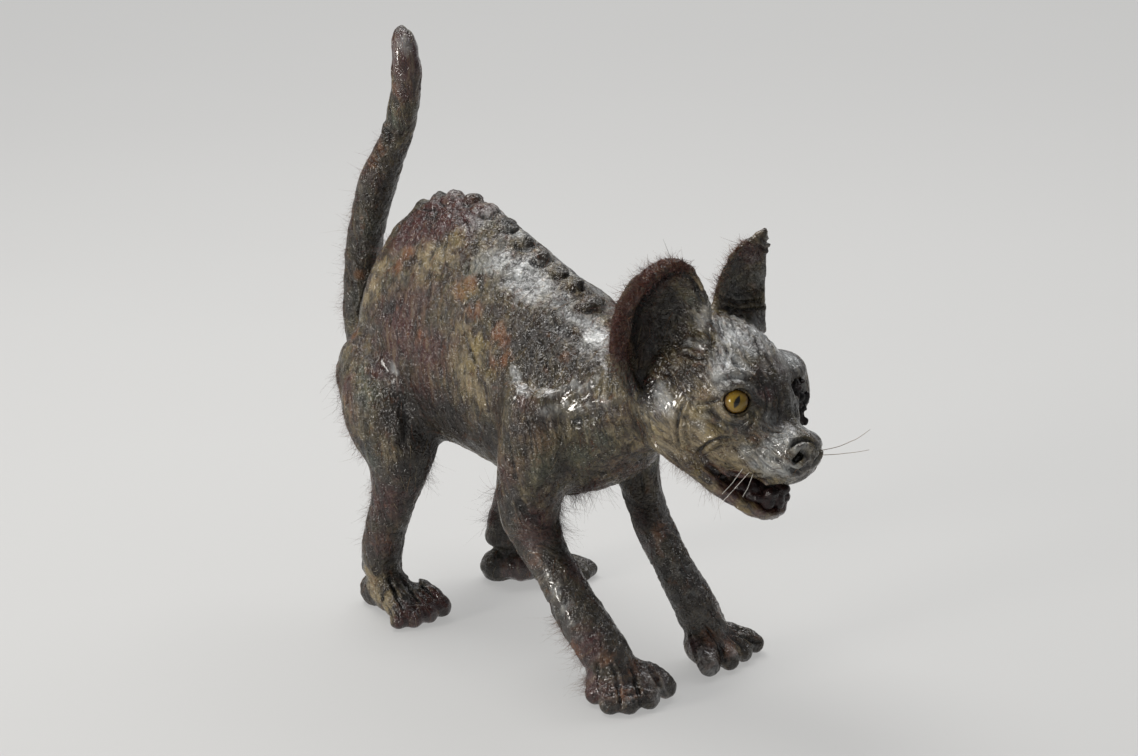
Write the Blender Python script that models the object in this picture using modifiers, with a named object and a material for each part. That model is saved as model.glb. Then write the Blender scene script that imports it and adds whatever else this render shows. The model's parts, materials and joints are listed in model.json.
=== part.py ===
"""A papier-mache cat: a lean, arched, half-wild figure standing on its four paws.

The moulded figure is one solid from ears to tail. A glass eye sits in a socket
in its face and the whiskers are bristles set in drilled holes in its muzzle.
Metres, +Z up. The cat looks along +X and its left side is +Y. The origin is on
the ground, in the middle of the whole figure's box.
"""
import math

import bmesh
import bpy
import numpy as np
from mathutils import Matrix, Vector

# Driving dimensions, in metres
CAT_HEIGHT = 0.313
EYE_DIAMETER = 0.012
EYE_CLEARANCE = 0.0003
EYELID_THICKNESS = 0.0019
WHISKER_DIAMETER = 0.0008
WHISKER_HOLE_CLEARANCE = 0.0003
WHISKER_HOLE_DEPTH = 0.0035

# The figure's form is given in shares of its height: 313 shares, as tall as the tail's tip
SHARES_IN_HEIGHT = 313.0
UNIT = CAT_HEIGHT / SHARES_IN_HEIGHT

# How finely the form is modelled, in shares, and how many faces the solid keeps
MASSING_VOXEL = 2.4
FORM_VOXEL = 1.7
FIGURE_FACES = 7650
WELD_DISTANCE = 0.00001

COLLECTION_NAME = "papier_mache_cat"
CUTTER_COLLECTION_NAME = "cutters"

# Trunk sections: place along X, top, bottom, half width, how much narrower the top is
TRUNK = (
    (-127, 172, 122, 25, 0.10),
    (-122, 197, 112, 33, 0.15),
    (-112, 213, 105, 38, 0.22),
    (-99, 222, 101, 40, 0.30),
    (-81, 228, 98, 41, 0.34),
    (-63, 229, 96, 41, 0.34),
    (-45, 223, 95, 41, 0.30),
    (-25, 214, 91, 41, 0.24),
    (-5, 204, 88, 41, 0.14),
    (14, 196, 87, 41, 0.06),
    (33, 184, 95, 38, 0.02),
    (52, 180, 110, 33, 0.0),
    (72, 186, 126, 30, 0.0),
    (90, 196, 134, 28, 0.0),
)

# Limbs: stations of x, y, z and radius
NEAR_HIND_LEG = (
    (-103, -26, 140, 22), (-99, -31, 122, 26), (-89, -35, 104, 24), (-83, -38, 90, 18),
    (-85, -40, 72, 13), (-92, -41, 52, 11.6), (-98, -39, 34, 11.8), (-103, -36, 20, 11.5),
)
FAR_HIND_LEG = (
    (-96, 26, 140, 22), (-90, 31, 122, 26), (-80, 36, 104, 24), (-73, 40, 90, 18.5),
    (-73, 42, 72, 13.5), (-79, 42, 52, 11.5), (-83, 40, 34, 11.5), (-85, 37, 20, 11),
)
NEAR_FRONT_LEG = (
    (16, -26, 150, 23), (17, -32, 128, 21), (14, -34, 106, 18.5), (11, -34, 88, 16),
    (17, -33, 72, 13), (30, -33, 58, 11.6), (43, -34, 45, 12.2), (55, -33, 32, 13),
    (65, -30, 20, 12.5), (74, -27, 12, 9),
)
FAR_FRONT_LEG = (
    (22, 22, 146, 20), (24, 27, 120, 16), (26, 29, 98, 12.5), (33, 29, 79, 11),
    (42, 29, 64, 10.6), (52, 30, 50, 10.6), (61, 32, 36, 11.5), (67, 36, 23, 11.5),
    (74, 42, 13, 8.5),
)
TAIL = (
    (-112, 0, 142, 17), (-128, 0, 132, 14), (-146, 0, 127, 11.5), (-156, 0, 137, 10.5),
    (-157, 0, 158, 10.2), (-154, 0, 183, 10.4), (-147, 0, 207, 10.6), (-137, 0, 231, 10.6),
    (-128, 0, 246, 9.2), (-119, 0, 264, 8.8), (-115, 0, 281, 8.7), (-115, 0, 297, 8.2),
    (-118, 0, 309, 6.2), (-119.5, 0, 314.5, 3),
)

# Round masses: centre, radii, turn about Y in degrees
BODY_MASSES = (
    ((-110, -27, 130), (25, 23, 29), 12),
    ((-100, 24, 130), (24, 22, 27), 10),
    ((8, -26, 140), (30, 17, 36), 12),
    ((10, 26, 140), (30, 17, 36), 12),
    ((36, 0, 122), (32, 26, 22), -35),
)

# The head: sections of skull, muzzle and jaw, given as the trunk's are
SKULL = (
    (58, 186, 152, 14, 0.0), (68, 197, 142, 25, 0.12), (84, 203, 136, 33, 0.34), (100, 204, 132, 35, 0.38),
    (114, 202, 133, 34, 0.28), (125, 197, 136, 30, 0.18), (134, 190, 138, 25, 0.12),
    (141, 182, 140, 19, 0.05), (147, 172, 142, 13, 0.0),
)
MUZZLE = (
    (104, 166, 130, 32, 0.0), (118, 166, 129, 28, 0.0), (128, 165, 128.5, 24, 0.0),
    (138, 164, 128, 19, 0.0), (148, 160.5, 128, 15.5, 0.0), (155, 157.5, 130, 13.5, 0.0),
    (161, 155, 134, 12, 0.0), (165, 151.5, 140, 8, 0.0),
)
JAW = (
    (80, 156, 130, 27, -0.1), (100, 154, 126.5, 32, -0.15), (112, 149, 121.5, 31, -0.2),
    (121, 141, 116, 27.5, -0.22), (129, 135, 111.5, 22, -0.2), (136, 129, 108.5, 16.5, -0.1),
    (142.5, 123, 108, 11, 0.0), (147, 119.5, 111, 6, 0.0),
)

# Ears: the rim of each cup, then the deepest point inside and how far the back bulges
NEAR_EAR_RIM = (
    (113, -10, 191), (111, -12, 208), (108, -14, 220), (105, -17, 228), (100, -22, 233.5),
    (94, -28, 233), (88, -34, 228), (83, -39, 221), (80, -43, 212), (78, -45, 201),
    (78, -46, 189), (81, -44, 176), (86, -40, 165), (94, -34, 164), (103, -24, 170),
    (110, -15, 179),
)
NEAR_EAR_PIT = (88, -21, 187)
FAR_EAR_RIM = (
    (98, 5, 203), (98, 9, 217), (100, 13, 227), (102, 18, 233), (106, 24, 237),
    (109, 30, 241.5), (108, 32, 230), (106, 34, 213), (105, 35, 198), (106, 36, 186),
    (104, 25, 184), (100, 11, 192),
)
FAR_EAR_PIT = (96, 23, 200)
EAR_WALL = 3.6

# The thick roll along the outer edge of the near ear, as a limb is given
NEAR_EAR_ROLL = (
    (108, -14, 218, 1.8), (101, -20, 228.5, 2.4), (94.5, -26, 229, 3.2), (89.5, -32, 224.5, 3.6),
    (85.5, -36.5, 217.5, 3.8), (82.5, -40, 209.5, 3.9), (81.2, -42, 200, 3.9), (81.5, -42.5, 189, 3.6),
    (84, -41, 177.5, 3.0), (88, -38, 168, 2.2),
)
EAR_RINGS = 5

# Paws: the toes of each paw, as root, tip and tip radius. All of a paw reaches SOLE_SINK
# under the ground, where its sole is cut flat
NEAR_FRONT_TOES = (
    ((60, -36, 11), (66, -43, 5), 4.6),
    ((68, -37, 13), (79, -44.5, 5), 5.4),
    ((71, -33, 14), (86, -37, 5), 5.4),
    ((72, -27, 14), (89, -25, 5), 5.4),
    ((70, -20, 14), (87, -10, 6.5), 6.2),
)
FAR_FRONT_TOES = (
    ((70, 29, 13), (85, 23, 5.5), 5.6),
    ((71, 35, 14), (87, 37.5, 5), 5.4),
    ((71, 41, 14), (85, 51, 5), 5.2),
    ((68, 46, 14), (82, 63.5, 6), 5.6),
)
NEAR_HIND_TOES = (
    ((-86, -42, 13), (-72, -51, 5), 4.8),
    ((-84, -37, 14), (-67, -43, 5), 4.8),
    ((-83, -31, 14), (-66, -33, 5), 4.8),
    ((-84, -26, 14), (-67, -22, 6), 5.6),
)
FAR_HIND_TOES = (
    ((-72, 43, 12), (-56, 52, 5), 4.6),
    ((-72, 48, 12), (-52, 61, 5), 4.6),
    ((-74, 52, 12), (-49, 69, 5), 4.8),
    ((-78, 54, 12), (-51, 76, 5.5), 5.0),
)
SOLE_SINK = 1.6
PAW_MASSES = (
    ((68, -31, 11.5), (15, 13, 12), 20),
    ((71, 36, 11), (13, 12, 11.5), 20),
    ((-109, -34, 9.5), (10.5, 10, 10), 0),
    ((-97, -35, 13), (17, 11.5, 12), 15),
    ((-84, -34, 9.5), (14, 15, 9), 10),
    ((-87, 36, 9.5), (10, 10, 10), 0),
    ((-77, 44, 12), (14, 13, 10), 10),
)

# The knobs of the spine: where the row starts and ends along X, and how many there are
SPINE_START = -103
SPINE_END = 34
SPINE_KNOBS = 12
SPINE_KNOB_RADII = (5.4, 5.2, 5.0)

# The face
EYE_CENTRE = (135.5, -20.5, 171.2)
EYE_LOOKS_ALONG = (0.80, -0.58, 0.05)
EYELID_SETBACK_IN_EYE_RADII = 0.43

# The torn left eye socket, the pocket over it and the slanted nostrils: hollows as centre, radii
# and turn about Y in degrees
HOLLOWS = {
    "torn_socket": ((141, 21, 165), (8, 6.5, 10), 0),
    "brow_pocket": ((142.5, 15, 171.5), (5, 6, 4.5), 20),
    "nostril_right": ((164, -8, 147.5), (4.8, 2.6, 1.4), -28),
    "nostril_left": ((164, 8, 147.5), (4.8, 2.6, 1.4), -28),
}
BROW_MASSES = (
    ((127, -18, 181), (12, 8.8, 6.3), 25),
    ((128, 23.5, 177), (11, 10.5, 5.5), 25),
    ((132, 29.5, 163), (5.2, 5.5, 13), 0),
    ((102.5, 26.5, 183), (6, 6.5, 11), 0),
    ((120, -24, 156), (14, 8, 9), 10),
    ((120, 20, 154), (13, 9, 9), 10),
    ((157, -6, 148.5), (8, 6.8, 6.8), 0),
    ((157, 6, 148.5), (8, 6.8, 6.8), 0),
)

# The open mouth: its corner, and the opening's height at the lips
MOUTH_CORNER = (124, 0, 131.5)
MOUTH_FRONT = 176.0
MOUTH_ROOF_DROP = 3.0
MOUTH_GAPE_DEGREES = 38.0
MOUTH_HALF_WIDTH = 40.0

# Whiskers: root on the muzzle, and the free points after it
WHISKERS = {
    "whisker_left_upper": ((160, 11, 145), (168, 15, 148), (176, 19, 153), (181, 22, 158)),
    "whisker_left_lower": ((158, 12, 142), (167, 15, 144), (175, 19, 146), (181, 22, 148)),
    "whisker_right_front": ((143.5, -18, 134), (145, -22, 131), (145.5, -26, 128)),
    "whisker_right_middle": ((141, -19, 135), (139.5, -25, 130), (136, -31, 123)),
    "whisker_right_back": ((138, -20, 136), (137.5, -24.5, 132), (135.5, -29, 127.5)),
}


def at(place):
    """A place given in shares of the figure's height, in metres."""
    return Vector(place) * UNIT


def clear_scene():
    """Start from an empty file."""
    for thing in list(bpy.data.objects):
        bpy.data.objects.remove(thing, do_unlink=True)


def new_collection(name):
    """A collection linked to the scene."""
    group = bpy.data.collections.new(name)
    bpy.context.scene.collection.children.link(group)
    return group


def finish_material(name, colour, roughness, metallic=0.0):
    """A plain Principled finish for one sub-part."""
    material = bpy.data.materials.new(name)
    material.use_nodes = True
    shader = material.node_tree.nodes["Principled BSDF"]
    shader.inputs["Base Color"].default_value = (*colour, 1.0)
    shader.inputs["Roughness"].default_value = roughness
    shader.inputs["Metallic"].default_value = metallic
    return material


def evaluated_mesh(thing):
    """The mesh of an object with its modifiers, in world space."""
    graph = bpy.context.evaluated_depsgraph_get()
    mesh = bpy.data.meshes.new_from_object(thing.evaluated_get(graph))
    mesh.transform(thing.matrix_world)
    return mesh


def mesh_object(name, mesh, group):
    """An object for a mesh, in a collection."""
    thing = bpy.data.objects.new(name, mesh)
    group.objects.link(thing)
    return thing


def limb(name, stations, group, sides=5):
    """A tapered round limb through stations of x, y, z and radius, as a closed mesh."""
    path = bpy.data.curves.new(name, "CURVE")
    path.dimensions = "3D"
    path.bevel_depth = UNIT
    path.bevel_resolution = sides
    path.resolution_u = 6
    path.use_fill_caps = True
    spline = path.splines.new("BEZIER")
    spline.radius_interpolation = "CARDINAL"
    spline.bezier_points.add(len(stations) - 1)
    for point, (x, y, z, radius) in zip(spline.bezier_points, stations):
        point.co = at((x, y, z))
        point.radius = radius
        point.handle_left_type = "AUTO"
        point.handle_right_type = "AUTO"
    guide = bpy.data.objects.new(name, path)
    group.objects.link(guide)
    bpy.context.view_layer.update()
    mesh = evaluated_mesh(guide)
    bpy.data.objects.remove(guide, do_unlink=True)
    form = bmesh.new()
    form.from_mesh(mesh)
    bmesh.ops.remove_doubles(form, verts=form.verts, dist=WELD_DISTANCE)
    form.to_mesh(mesh)
    form.free()
    return mesh_object(name, mesh, group)


def mass(name, centre, radii, turn, group, segments=28):
    """An ellipsoid, turned about Y and then placed."""
    form = bmesh.new()
    bmesh.ops.create_uvsphere(form, u_segments=segments, v_segments=segments // 2, radius=1.0)
    size = Matrix.Diagonal((*(Vector(radii) * UNIT), 1.0))
    lean = Matrix.Rotation(math.radians(turn), 4, "Y")
    bmesh.ops.transform(form, matrix=Matrix.Translation(at(centre)) @ lean @ size, verts=form.verts)
    mesh = bpy.data.meshes.new(name)
    form.to_mesh(mesh)
    form.free()
    return mesh_object(name, mesh, group)


def loft(name, rings, group):
    """A skin over rings of points, closed at both ends."""
    form = bmesh.new()
    loops = [[form.verts.new(point) for point in ring] for ring in rings]
    for here, ahead in zip(loops, loops[1:]):
        for i in range(len(here)):
            j = (i + 1) % len(here)
            form.faces.new((here[i], here[j], ahead[j], ahead[i]))
    form.faces.new(list(reversed(loops[0])))
    form.faces.new(loops[-1])
    bmesh.ops.recalc_face_normals(form, faces=form.faces)
    mesh = bpy.data.meshes.new(name)
    form.to_mesh(mesh)
    form.free()
    return mesh_object(name, mesh, group)


def body_form(name, sections, group, around=28):
    """A form in egg-shaped sections along X, narrower at the top where it is pinched."""
    rings = []
    for x, top, bottom, half_width, pinch in sections:
        middle = (top + bottom) / 2
        half_height = (top - bottom) / 2
        ring = []
        for i in range(around):
            turn = 2 * math.pi * i / around
            up = math.cos(turn)
            side = math.sin(turn) * (1 - pinch * up)
            ring.append(at((x, half_width * side, middle + half_height * up)))
        rings.append(ring)
    return loft(name, rings, group)


def ear(name, rim, pit, group):
    """An ear: rings of its rim drawn in to the pit of the cup, then given a wall."""
    form = bmesh.new()
    deepest = at(pit)
    loops = []
    for k in range(EAR_RINGS):
        reach = 1 - k / EAR_RINGS
        sink = 1 - reach ** 2.2
        middle = sum((at(point) for point in rim), Vector()) / len(rim)
        ring = []
        for point in rim:
            spread = middle + (at(point) - middle) * reach
            ring.append(form.verts.new(spread + (deepest - middle) * sink))
        loops.append(ring)
    for here, ahead in zip(loops, loops[1:]):
        for i in range(len(here)):
            j = (i + 1) % len(here)
            form.faces.new((here[i], here[j], ahead[j], ahead[i]))
    form.faces.new(loops[-1])
    bmesh.ops.recalc_face_normals(form, faces=form.faces)
    mesh = bpy.data.meshes.new(name)
    form.to_mesh(mesh)
    form.free()
    thing = mesh_object(name, mesh, group)
    wall = thing.modifiers.new("wall", "SOLIDIFY")
    wall.thickness = EAR_WALL * UNIT
    wall.offset = 0.0
    return thing


def fuse(name, pieces, voxel, rounds, group):
    """Join pieces into one skin, as layers of paste do, and smooth it."""
    form = bmesh.new()
    for piece in pieces:
        form.from_mesh(evaluated_mesh(piece))
        bpy.data.objects.remove(piece, do_unlink=True)
    mesh = bpy.data.meshes.new(name)
    form.to_mesh(mesh)
    form.free()
    thing = mesh_object(name, mesh, group)
    skin = thing.modifiers.new("skin", "REMESH")
    skin.mode = "VOXEL"
    skin.voxel_size = voxel * UNIT
    skin.adaptivity = 0.0
    soften = thing.modifiers.new("soften", "SMOOTH")
    soften.factor = 0.5
    soften.iterations = rounds
    bpy.context.view_layer.update()
    fused = evaluated_mesh(thing)
    bpy.data.objects.remove(thing, do_unlink=True)
    return mesh_object(name, fused, group)


def ball(name, centre, diameter, segments, group):
    """A plain sphere, in metres, about a place given in metres."""
    form = bmesh.new()
    bmesh.ops.create_uvsphere(form, u_segments=segments, v_segments=segments // 2, radius=diameter / 2)
    bmesh.ops.translate(form, vec=centre, verts=form.verts)
    mesh = bpy.data.meshes.new(name)
    form.to_mesh(mesh)
    form.free()
    return mesh_object(name, mesh, group)


def eyelids(group):
    """The ball of paste that holds the glass eye, set back so that the eye looks out of it."""
    setback = EYE_DIAMETER / 2 * EYELID_SETBACK_IN_EYE_RADII
    centre = at(EYE_CENTRE) - Vector(EYE_LOOKS_ALONG).normalized() * setback
    return ball("eyelids", centre, EYE_DIAMETER + 2 * EYELID_THICKNESS, 24, group)


def spine_height(x):
    """The height of the trunk's ridge at a place along X."""
    return float(np.interp(x, [section[0] for section in TRUNK], [section[1] for section in TRUNK]))


def spine_knobs(group):
    """The row of knuckled bones that stands out along the back."""
    knobs = []
    for i in range(SPINE_KNOBS):
        x = SPINE_START + (SPINE_END - SPINE_START) * i / (SPINE_KNOBS - 1)
        centre = (x, 0, spine_height(x) - 1.5)
        knobs.append(mass(f"knob_{i}", centre, SPINE_KNOB_RADII, 0, group))
    return knobs


def toes(name, plan, group):
    """The toes of one paw, each a small tapered limb with a rounded end."""
    made = []
    for i, (root, tip, radius) in enumerate(plan):
        start = Vector(root)
        end = Vector(tip) - Vector((0, 0, SOLE_SINK))
        along = (end - start).normalized()
        knuckle = start.lerp(end, 0.55) + Vector((0, 0, 1.5))
        stations = (
            (*start, radius * 1.05), (*knuckle, radius), (*end, radius),
            (*(end + along * radius * 0.55), radius * 0.45),
        )
        made.append(limb(f"{name}_{i}", stations, group))
    return made


def build_figure(group):
    """The whole moulded figure, before its mouth, sockets and soles are cut."""
    pieces = [body_form("trunk", TRUNK, group)]
    for name, stations in (
        ("near_hind_leg", NEAR_HIND_LEG), ("far_hind_leg", FAR_HIND_LEG),
        ("near_front_leg", NEAR_FRONT_LEG), ("far_front_leg", FAR_FRONT_LEG), ("tail", TAIL),
    ):
        pieces.append(limb(name, stations, group))
    for i, (centre, radii, turn) in enumerate(BODY_MASSES):
        pieces.append(mass(f"mass_{i}", centre, radii, turn, group))
    pieces.append(body_form("skull", SKULL, group))
    massing = fuse("massing", pieces, MASSING_VOXEL, 8, group)
    details = [massing]
    details.append(body_form("muzzle", MUZZLE, group))
    details.append(body_form("jaw", JAW, group))
    details.append(ear("near_ear", NEAR_EAR_RIM, NEAR_EAR_PIT, group))
    details.append(limb("near_ear_roll", NEAR_EAR_ROLL, group))
    details.append(ear("far_ear", FAR_EAR_RIM, FAR_EAR_PIT, group))
    details.append(eyelids(group))
    details.extend(spine_knobs(group))
    for i, (centre, radii, turn) in enumerate(PAW_MASSES):
        sunk = Vector(centre) - Vector((0, 0, SOLE_SINK))
        details.append(mass(f"paw_{i}", sunk, radii, turn, group))
    for i, (centre, radii, turn) in enumerate(BROW_MASSES):
        details.append(mass(f"face_{i}", centre, radii, turn, group))
    for name, plan in (
        ("near_front_toe", NEAR_FRONT_TOES), ("far_front_toe", FAR_FRONT_TOES),
        ("near_hind_toe", NEAR_HIND_TOES), ("far_hind_toe", FAR_HIND_TOES),
    ):
        details.extend(toes(name, plan, group))
    return fuse("cat_body", details, FORM_VOXEL, 4, group)


def reduce_faces(thing, faces):
    """Keep the form with fewer triangles, closer together where it bends more."""
    thing.data.calc_loop_triangles()
    fewer = thing.modifiers.new("fewer_faces", "DECIMATE")
    fewer.ratio = faces / len(thing.data.loop_triangles)
    fewer.use_collapse_triangulate = True


def cut(thing, cutter):
    """Take a cutter's shape out of an object."""
    hole = thing.modifiers.new(cutter.name, "BOOLEAN")
    hole.operation = "DIFFERENCE"
    hole.solver = "EXACT"
    hole.object = cutter


def mouth_cutter(group):
    """A wedge with its edge at the mouth's corners, opening to the front."""
    corner_x, _, corner_z = MOUTH_CORNER
    reach = MOUTH_FRONT - corner_x
    drop = reach * math.tan(math.radians(MOUTH_GAPE_DEGREES))
    profile = (
        (corner_x, corner_z),
        (MOUTH_FRONT, corner_z - MOUTH_ROOF_DROP),
        (MOUTH_FRONT, corner_z - drop),
        (corner_x + 2, corner_z - 2.6),
    )
    rings = []
    for y in (-MOUTH_HALF_WIDTH, MOUTH_HALF_WIDTH):
        rings.append([at((x, y, z)) for x, z in profile])
    return loft("mouth_cutter", rings, group)


def ground_cutter(group):
    """A slab under the ground, which cuts the soles flat."""
    form = bmesh.new()
    bmesh.ops.create_cube(form, size=1.0)
    size = Matrix.Diagonal((CAT_HEIGHT * 2, CAT_HEIGHT, CAT_HEIGHT / 2, 1.0))
    place = Matrix.Translation((0, 0, -CAT_HEIGHT / 4))
    bmesh.ops.transform(form, matrix=place @ size, verts=form.verts)
    mesh = bpy.data.meshes.new("ground_cutter")
    form.to_mesh(mesh)
    form.free()
    return mesh_object("ground_cutter", mesh, group)


def bristle(name, points, diameter, group):
    """A stiff hair through points in metres, thinner at its end."""
    path = bpy.data.curves.new(name, "CURVE")
    path.dimensions = "3D"
    path.bevel_depth = diameter / 2
    path.bevel_resolution = 1
    path.use_fill_caps = True
    spline = path.splines.new("POLY")
    spline.points.add(len(points) - 1)
    for i, (point, place) in enumerate(zip(spline.points, points)):
        point.co = (*place, 1.0)
        point.radius = 1.0 - 0.4 * i / (len(points) - 1)
    thing = bpy.data.objects.new(name, path)
    group.objects.link(thing)
    return thing


def whisker_paths():
    """Each whisker's points in metres, from the bottom of its hole to its end."""
    paths = {}
    for name, plan in WHISKERS.items():
        places = [at(point) for point in plan]
        into = (places[0] - places[1]).normalized()
        sunk = places[0] + into * (WHISKER_HOLE_DEPTH - WHISKER_HOLE_CLEARANCE)
        paths[name] = [sunk, *places]
    return paths


def hide_cutters(group):
    """Cutters show as wires and stay out of the model."""
    for cutter in group.objects:
        cutter.hide_render = True
        cutter.display_type = "WIRE"


def move_origin(things):
    """Move everything so that the origin is under the middle of the whole figure's box."""
    corners = []
    for thing in things:
        if not thing.hide_render:
            corners.extend(vertex.co.copy() for vertex in evaluated_mesh(thing).vertices)
    low = [min(corner[axis] for corner in corners) for axis in range(3)]
    high = [max(corner[axis] for corner in corners) for axis in range(3)]
    shift = Vector((-(low[0] + high[0]) / 2, -(low[1] + high[1]) / 2, -low[2]))
    for thing in things:
        thing.location = thing.location + shift
    bpy.context.view_layer.update()
    return shift


def whisker_hole(name, path, diameter, group):
    """A drill for one whisker's root: a round bar from the hole's bottom to clear of the skin."""
    bottom = path[0] + (path[0] - path[1]).normalized() * WHISKER_HOLE_CLEARANCE
    mouth = path[1] + (path[1] - path[0]).normalized() * WHISKER_HOLE_DEPTH
    axis = mouth - bottom
    form = bmesh.new()
    bmesh.ops.create_cone(
        form, cap_ends=True, segments=8, radius1=diameter / 2, radius2=diameter / 2, depth=axis.length,
    )
    turn = axis.to_track_quat("Z", "Y").to_matrix().to_4x4()
    bmesh.ops.transform(form, matrix=Matrix.Translation((bottom + mouth) / 2) @ turn, verts=form.verts)
    mesh = bpy.data.meshes.new(name)
    form.to_mesh(mesh)
    form.free()
    return mesh_object(name, mesh, group)


def build_cat():
    """Build every sub-part and set the origin under the middle of the figure."""
    clear_scene()
    parts = new_collection(COLLECTION_NAME)
    cutters = new_collection(CUTTER_COLLECTION_NAME)

    body = build_figure(parts)
    body.name = "cat_body"
    body.data.materials.clear()
    body.data.materials.append(finish_material("lacquered_papier_mache", (0.085, 0.07, 0.055), 0.35))
    reduce_faces(body, FIGURE_FACES)
    cut(body, mouth_cutter(cutters))

    eye_place = at(EYE_CENTRE)
    socket_diameter = EYE_DIAMETER + 2 * EYE_CLEARANCE
    cut(body, ball("eye_socket_cutter", eye_place, socket_diameter, 24, cutters))
    eye = ball("eye_right", eye_place, EYE_DIAMETER, 20, parts)
    eye.data.materials.append(finish_material("amber_glass", (0.55, 0.33, 0.04), 0.05))
    eye.data.shade_smooth()

    for name, (centre, radii, turn) in HOLLOWS.items():
        cut(body, mass(f"{name}_cutter", centre, radii, turn, cutters, segments=14))

    bristle_finish = finish_material("bristle", (0.3, 0.24, 0.17), 0.5)
    for name, path in whisker_paths().items():
        hole_width = WHISKER_DIAMETER + 2 * WHISKER_HOLE_CLEARANCE
        cut(body, whisker_hole(f"{name}_hole", path, hole_width, cutters))
        whisker = bristle(name, path, WHISKER_DIAMETER, parts)
        whisker.data.materials.append(bristle_finish)
    cut(body, ground_cutter(cutters))

    hide_cutters(cutters)
    return move_origin(list(parts.objects) + list(cutters.objects))


FRAME_SHIFT = build_cat()
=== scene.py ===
"""The looks of a papier-mache cat: lacquered skin, glass eye, wet mouth, whiskers and stray hair.

Metres, +Z up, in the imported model's frame. The cat looks along +X and its left side is +Y.
Places on the figure are in millimetres in the figure's own measure, which the eye ties to the
frame. Marks that were read from the photograph are pixels of its 1138 x 756 frame, and each is
carried along its line of sight onto the skin.
"""

import json
import logging
import math
from dataclasses import dataclass
from enum import Enum

import bmesh
import bpy
import numpy as np
from mathutils import Matrix, Vector
from mathutils.bvhtree import BVHTree

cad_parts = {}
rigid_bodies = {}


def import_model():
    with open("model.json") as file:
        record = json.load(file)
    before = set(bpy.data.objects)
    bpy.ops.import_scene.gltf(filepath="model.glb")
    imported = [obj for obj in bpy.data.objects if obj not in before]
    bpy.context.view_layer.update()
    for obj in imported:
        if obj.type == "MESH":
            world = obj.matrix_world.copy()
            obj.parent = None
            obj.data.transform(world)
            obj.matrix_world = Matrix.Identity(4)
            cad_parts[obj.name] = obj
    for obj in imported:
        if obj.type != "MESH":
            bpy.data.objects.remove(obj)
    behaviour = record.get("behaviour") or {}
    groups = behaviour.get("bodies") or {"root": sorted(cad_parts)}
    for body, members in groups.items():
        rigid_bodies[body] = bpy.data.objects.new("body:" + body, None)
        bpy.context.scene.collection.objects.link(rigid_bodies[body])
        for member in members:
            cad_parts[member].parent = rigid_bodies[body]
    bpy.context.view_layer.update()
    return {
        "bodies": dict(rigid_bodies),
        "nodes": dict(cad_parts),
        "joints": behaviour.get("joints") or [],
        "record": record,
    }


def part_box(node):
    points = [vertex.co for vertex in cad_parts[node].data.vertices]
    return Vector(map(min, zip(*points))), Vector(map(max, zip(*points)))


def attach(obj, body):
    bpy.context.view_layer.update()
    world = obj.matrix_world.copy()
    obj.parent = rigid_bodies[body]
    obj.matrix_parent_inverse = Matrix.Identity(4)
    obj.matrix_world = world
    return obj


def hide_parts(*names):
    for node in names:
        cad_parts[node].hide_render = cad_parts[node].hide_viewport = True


LOG = logging.getLogger("cat")

MM = 0.001
BODY = "root"
PHOTO_WIDTH = 1138
PHOTO_HEIGHT = 756
SENSOR_WIDTH = 36.0
WELD_DISTANCE = 0.00001
LUMP_VOXEL = 0.55
LUMP_BUMP_CELL = 0.0026
LUMP_SOFTENING = 4
EYE_IN_FIGURE = (135.5, -20.5, 171.2)

Colour = tuple[float, float, float]
Pixel = tuple[float, float]
Place = tuple[float, float, float]


class Tint(Enum):
    """The colours and states that vary over the skin, each kept as a point attribute."""

    # Charcoal: dark stains and tone, and also painted shade on the belly's underside and the far thigh's
    # inner face.
    CHARCOAL_AND_SHADE = "charcoal_and_shade"
    MAROON = "maroon"
    RUST = "rust"
    TAN = "tan"
    YELLOW = "yellow"
    # Silver: a pale glaze, and also painted sheen and painted highlights where the lamps' reflections fall.
    SILVER_AND_SHEEN = "silver_and_sheen"
    GREEN = "green"
    WET = "wet"
    PINNED = "pinned"


class Depth(Enum):
    """What the modelling leaves at each point, kept as point attributes."""

    # Hollow: how deep a point was sunk, where the skin's finish paints painted shade.
    HOLLOW = "hollow"
    RAISED = "raised"
    GRAIN = "grain"


class Slot(Enum):
    """The record's material slots."""

    PAPER = "papier_mache"
    GLASS = "eye_glass"
    BRISTLE = "bristle"


@dataclass(frozen=True)
class Patch:
    """A soft-edged patch of a tint, at a pixel of the photograph."""

    u: float
    v: float
    radius: float
    strength: float = 1.0
    both_sides: bool = True


@dataclass(frozen=True)
class Fold:
    """A groove or a ridge on the skin, drawn as a line of pixels."""

    line: tuple[Pixel, ...]
    width: float
    rise: float
    lip: float = 0.0
    both_sides: bool = False


@dataclass(frozen=True)
class Tuft:
    """A growth of hair along a line of pixels."""

    line: tuple[Pixel, ...]
    spread: float
    hairs: int
    length: float
    lean: Place
    shade: float


def patches(*rows: tuple[float, ...]) -> tuple[Patch, ...]:
    """Patches from rows: a pixel, a radius in millimetres, a strength, and False for one side alone."""
    return tuple(Patch(*row) for row in rows)


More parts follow.
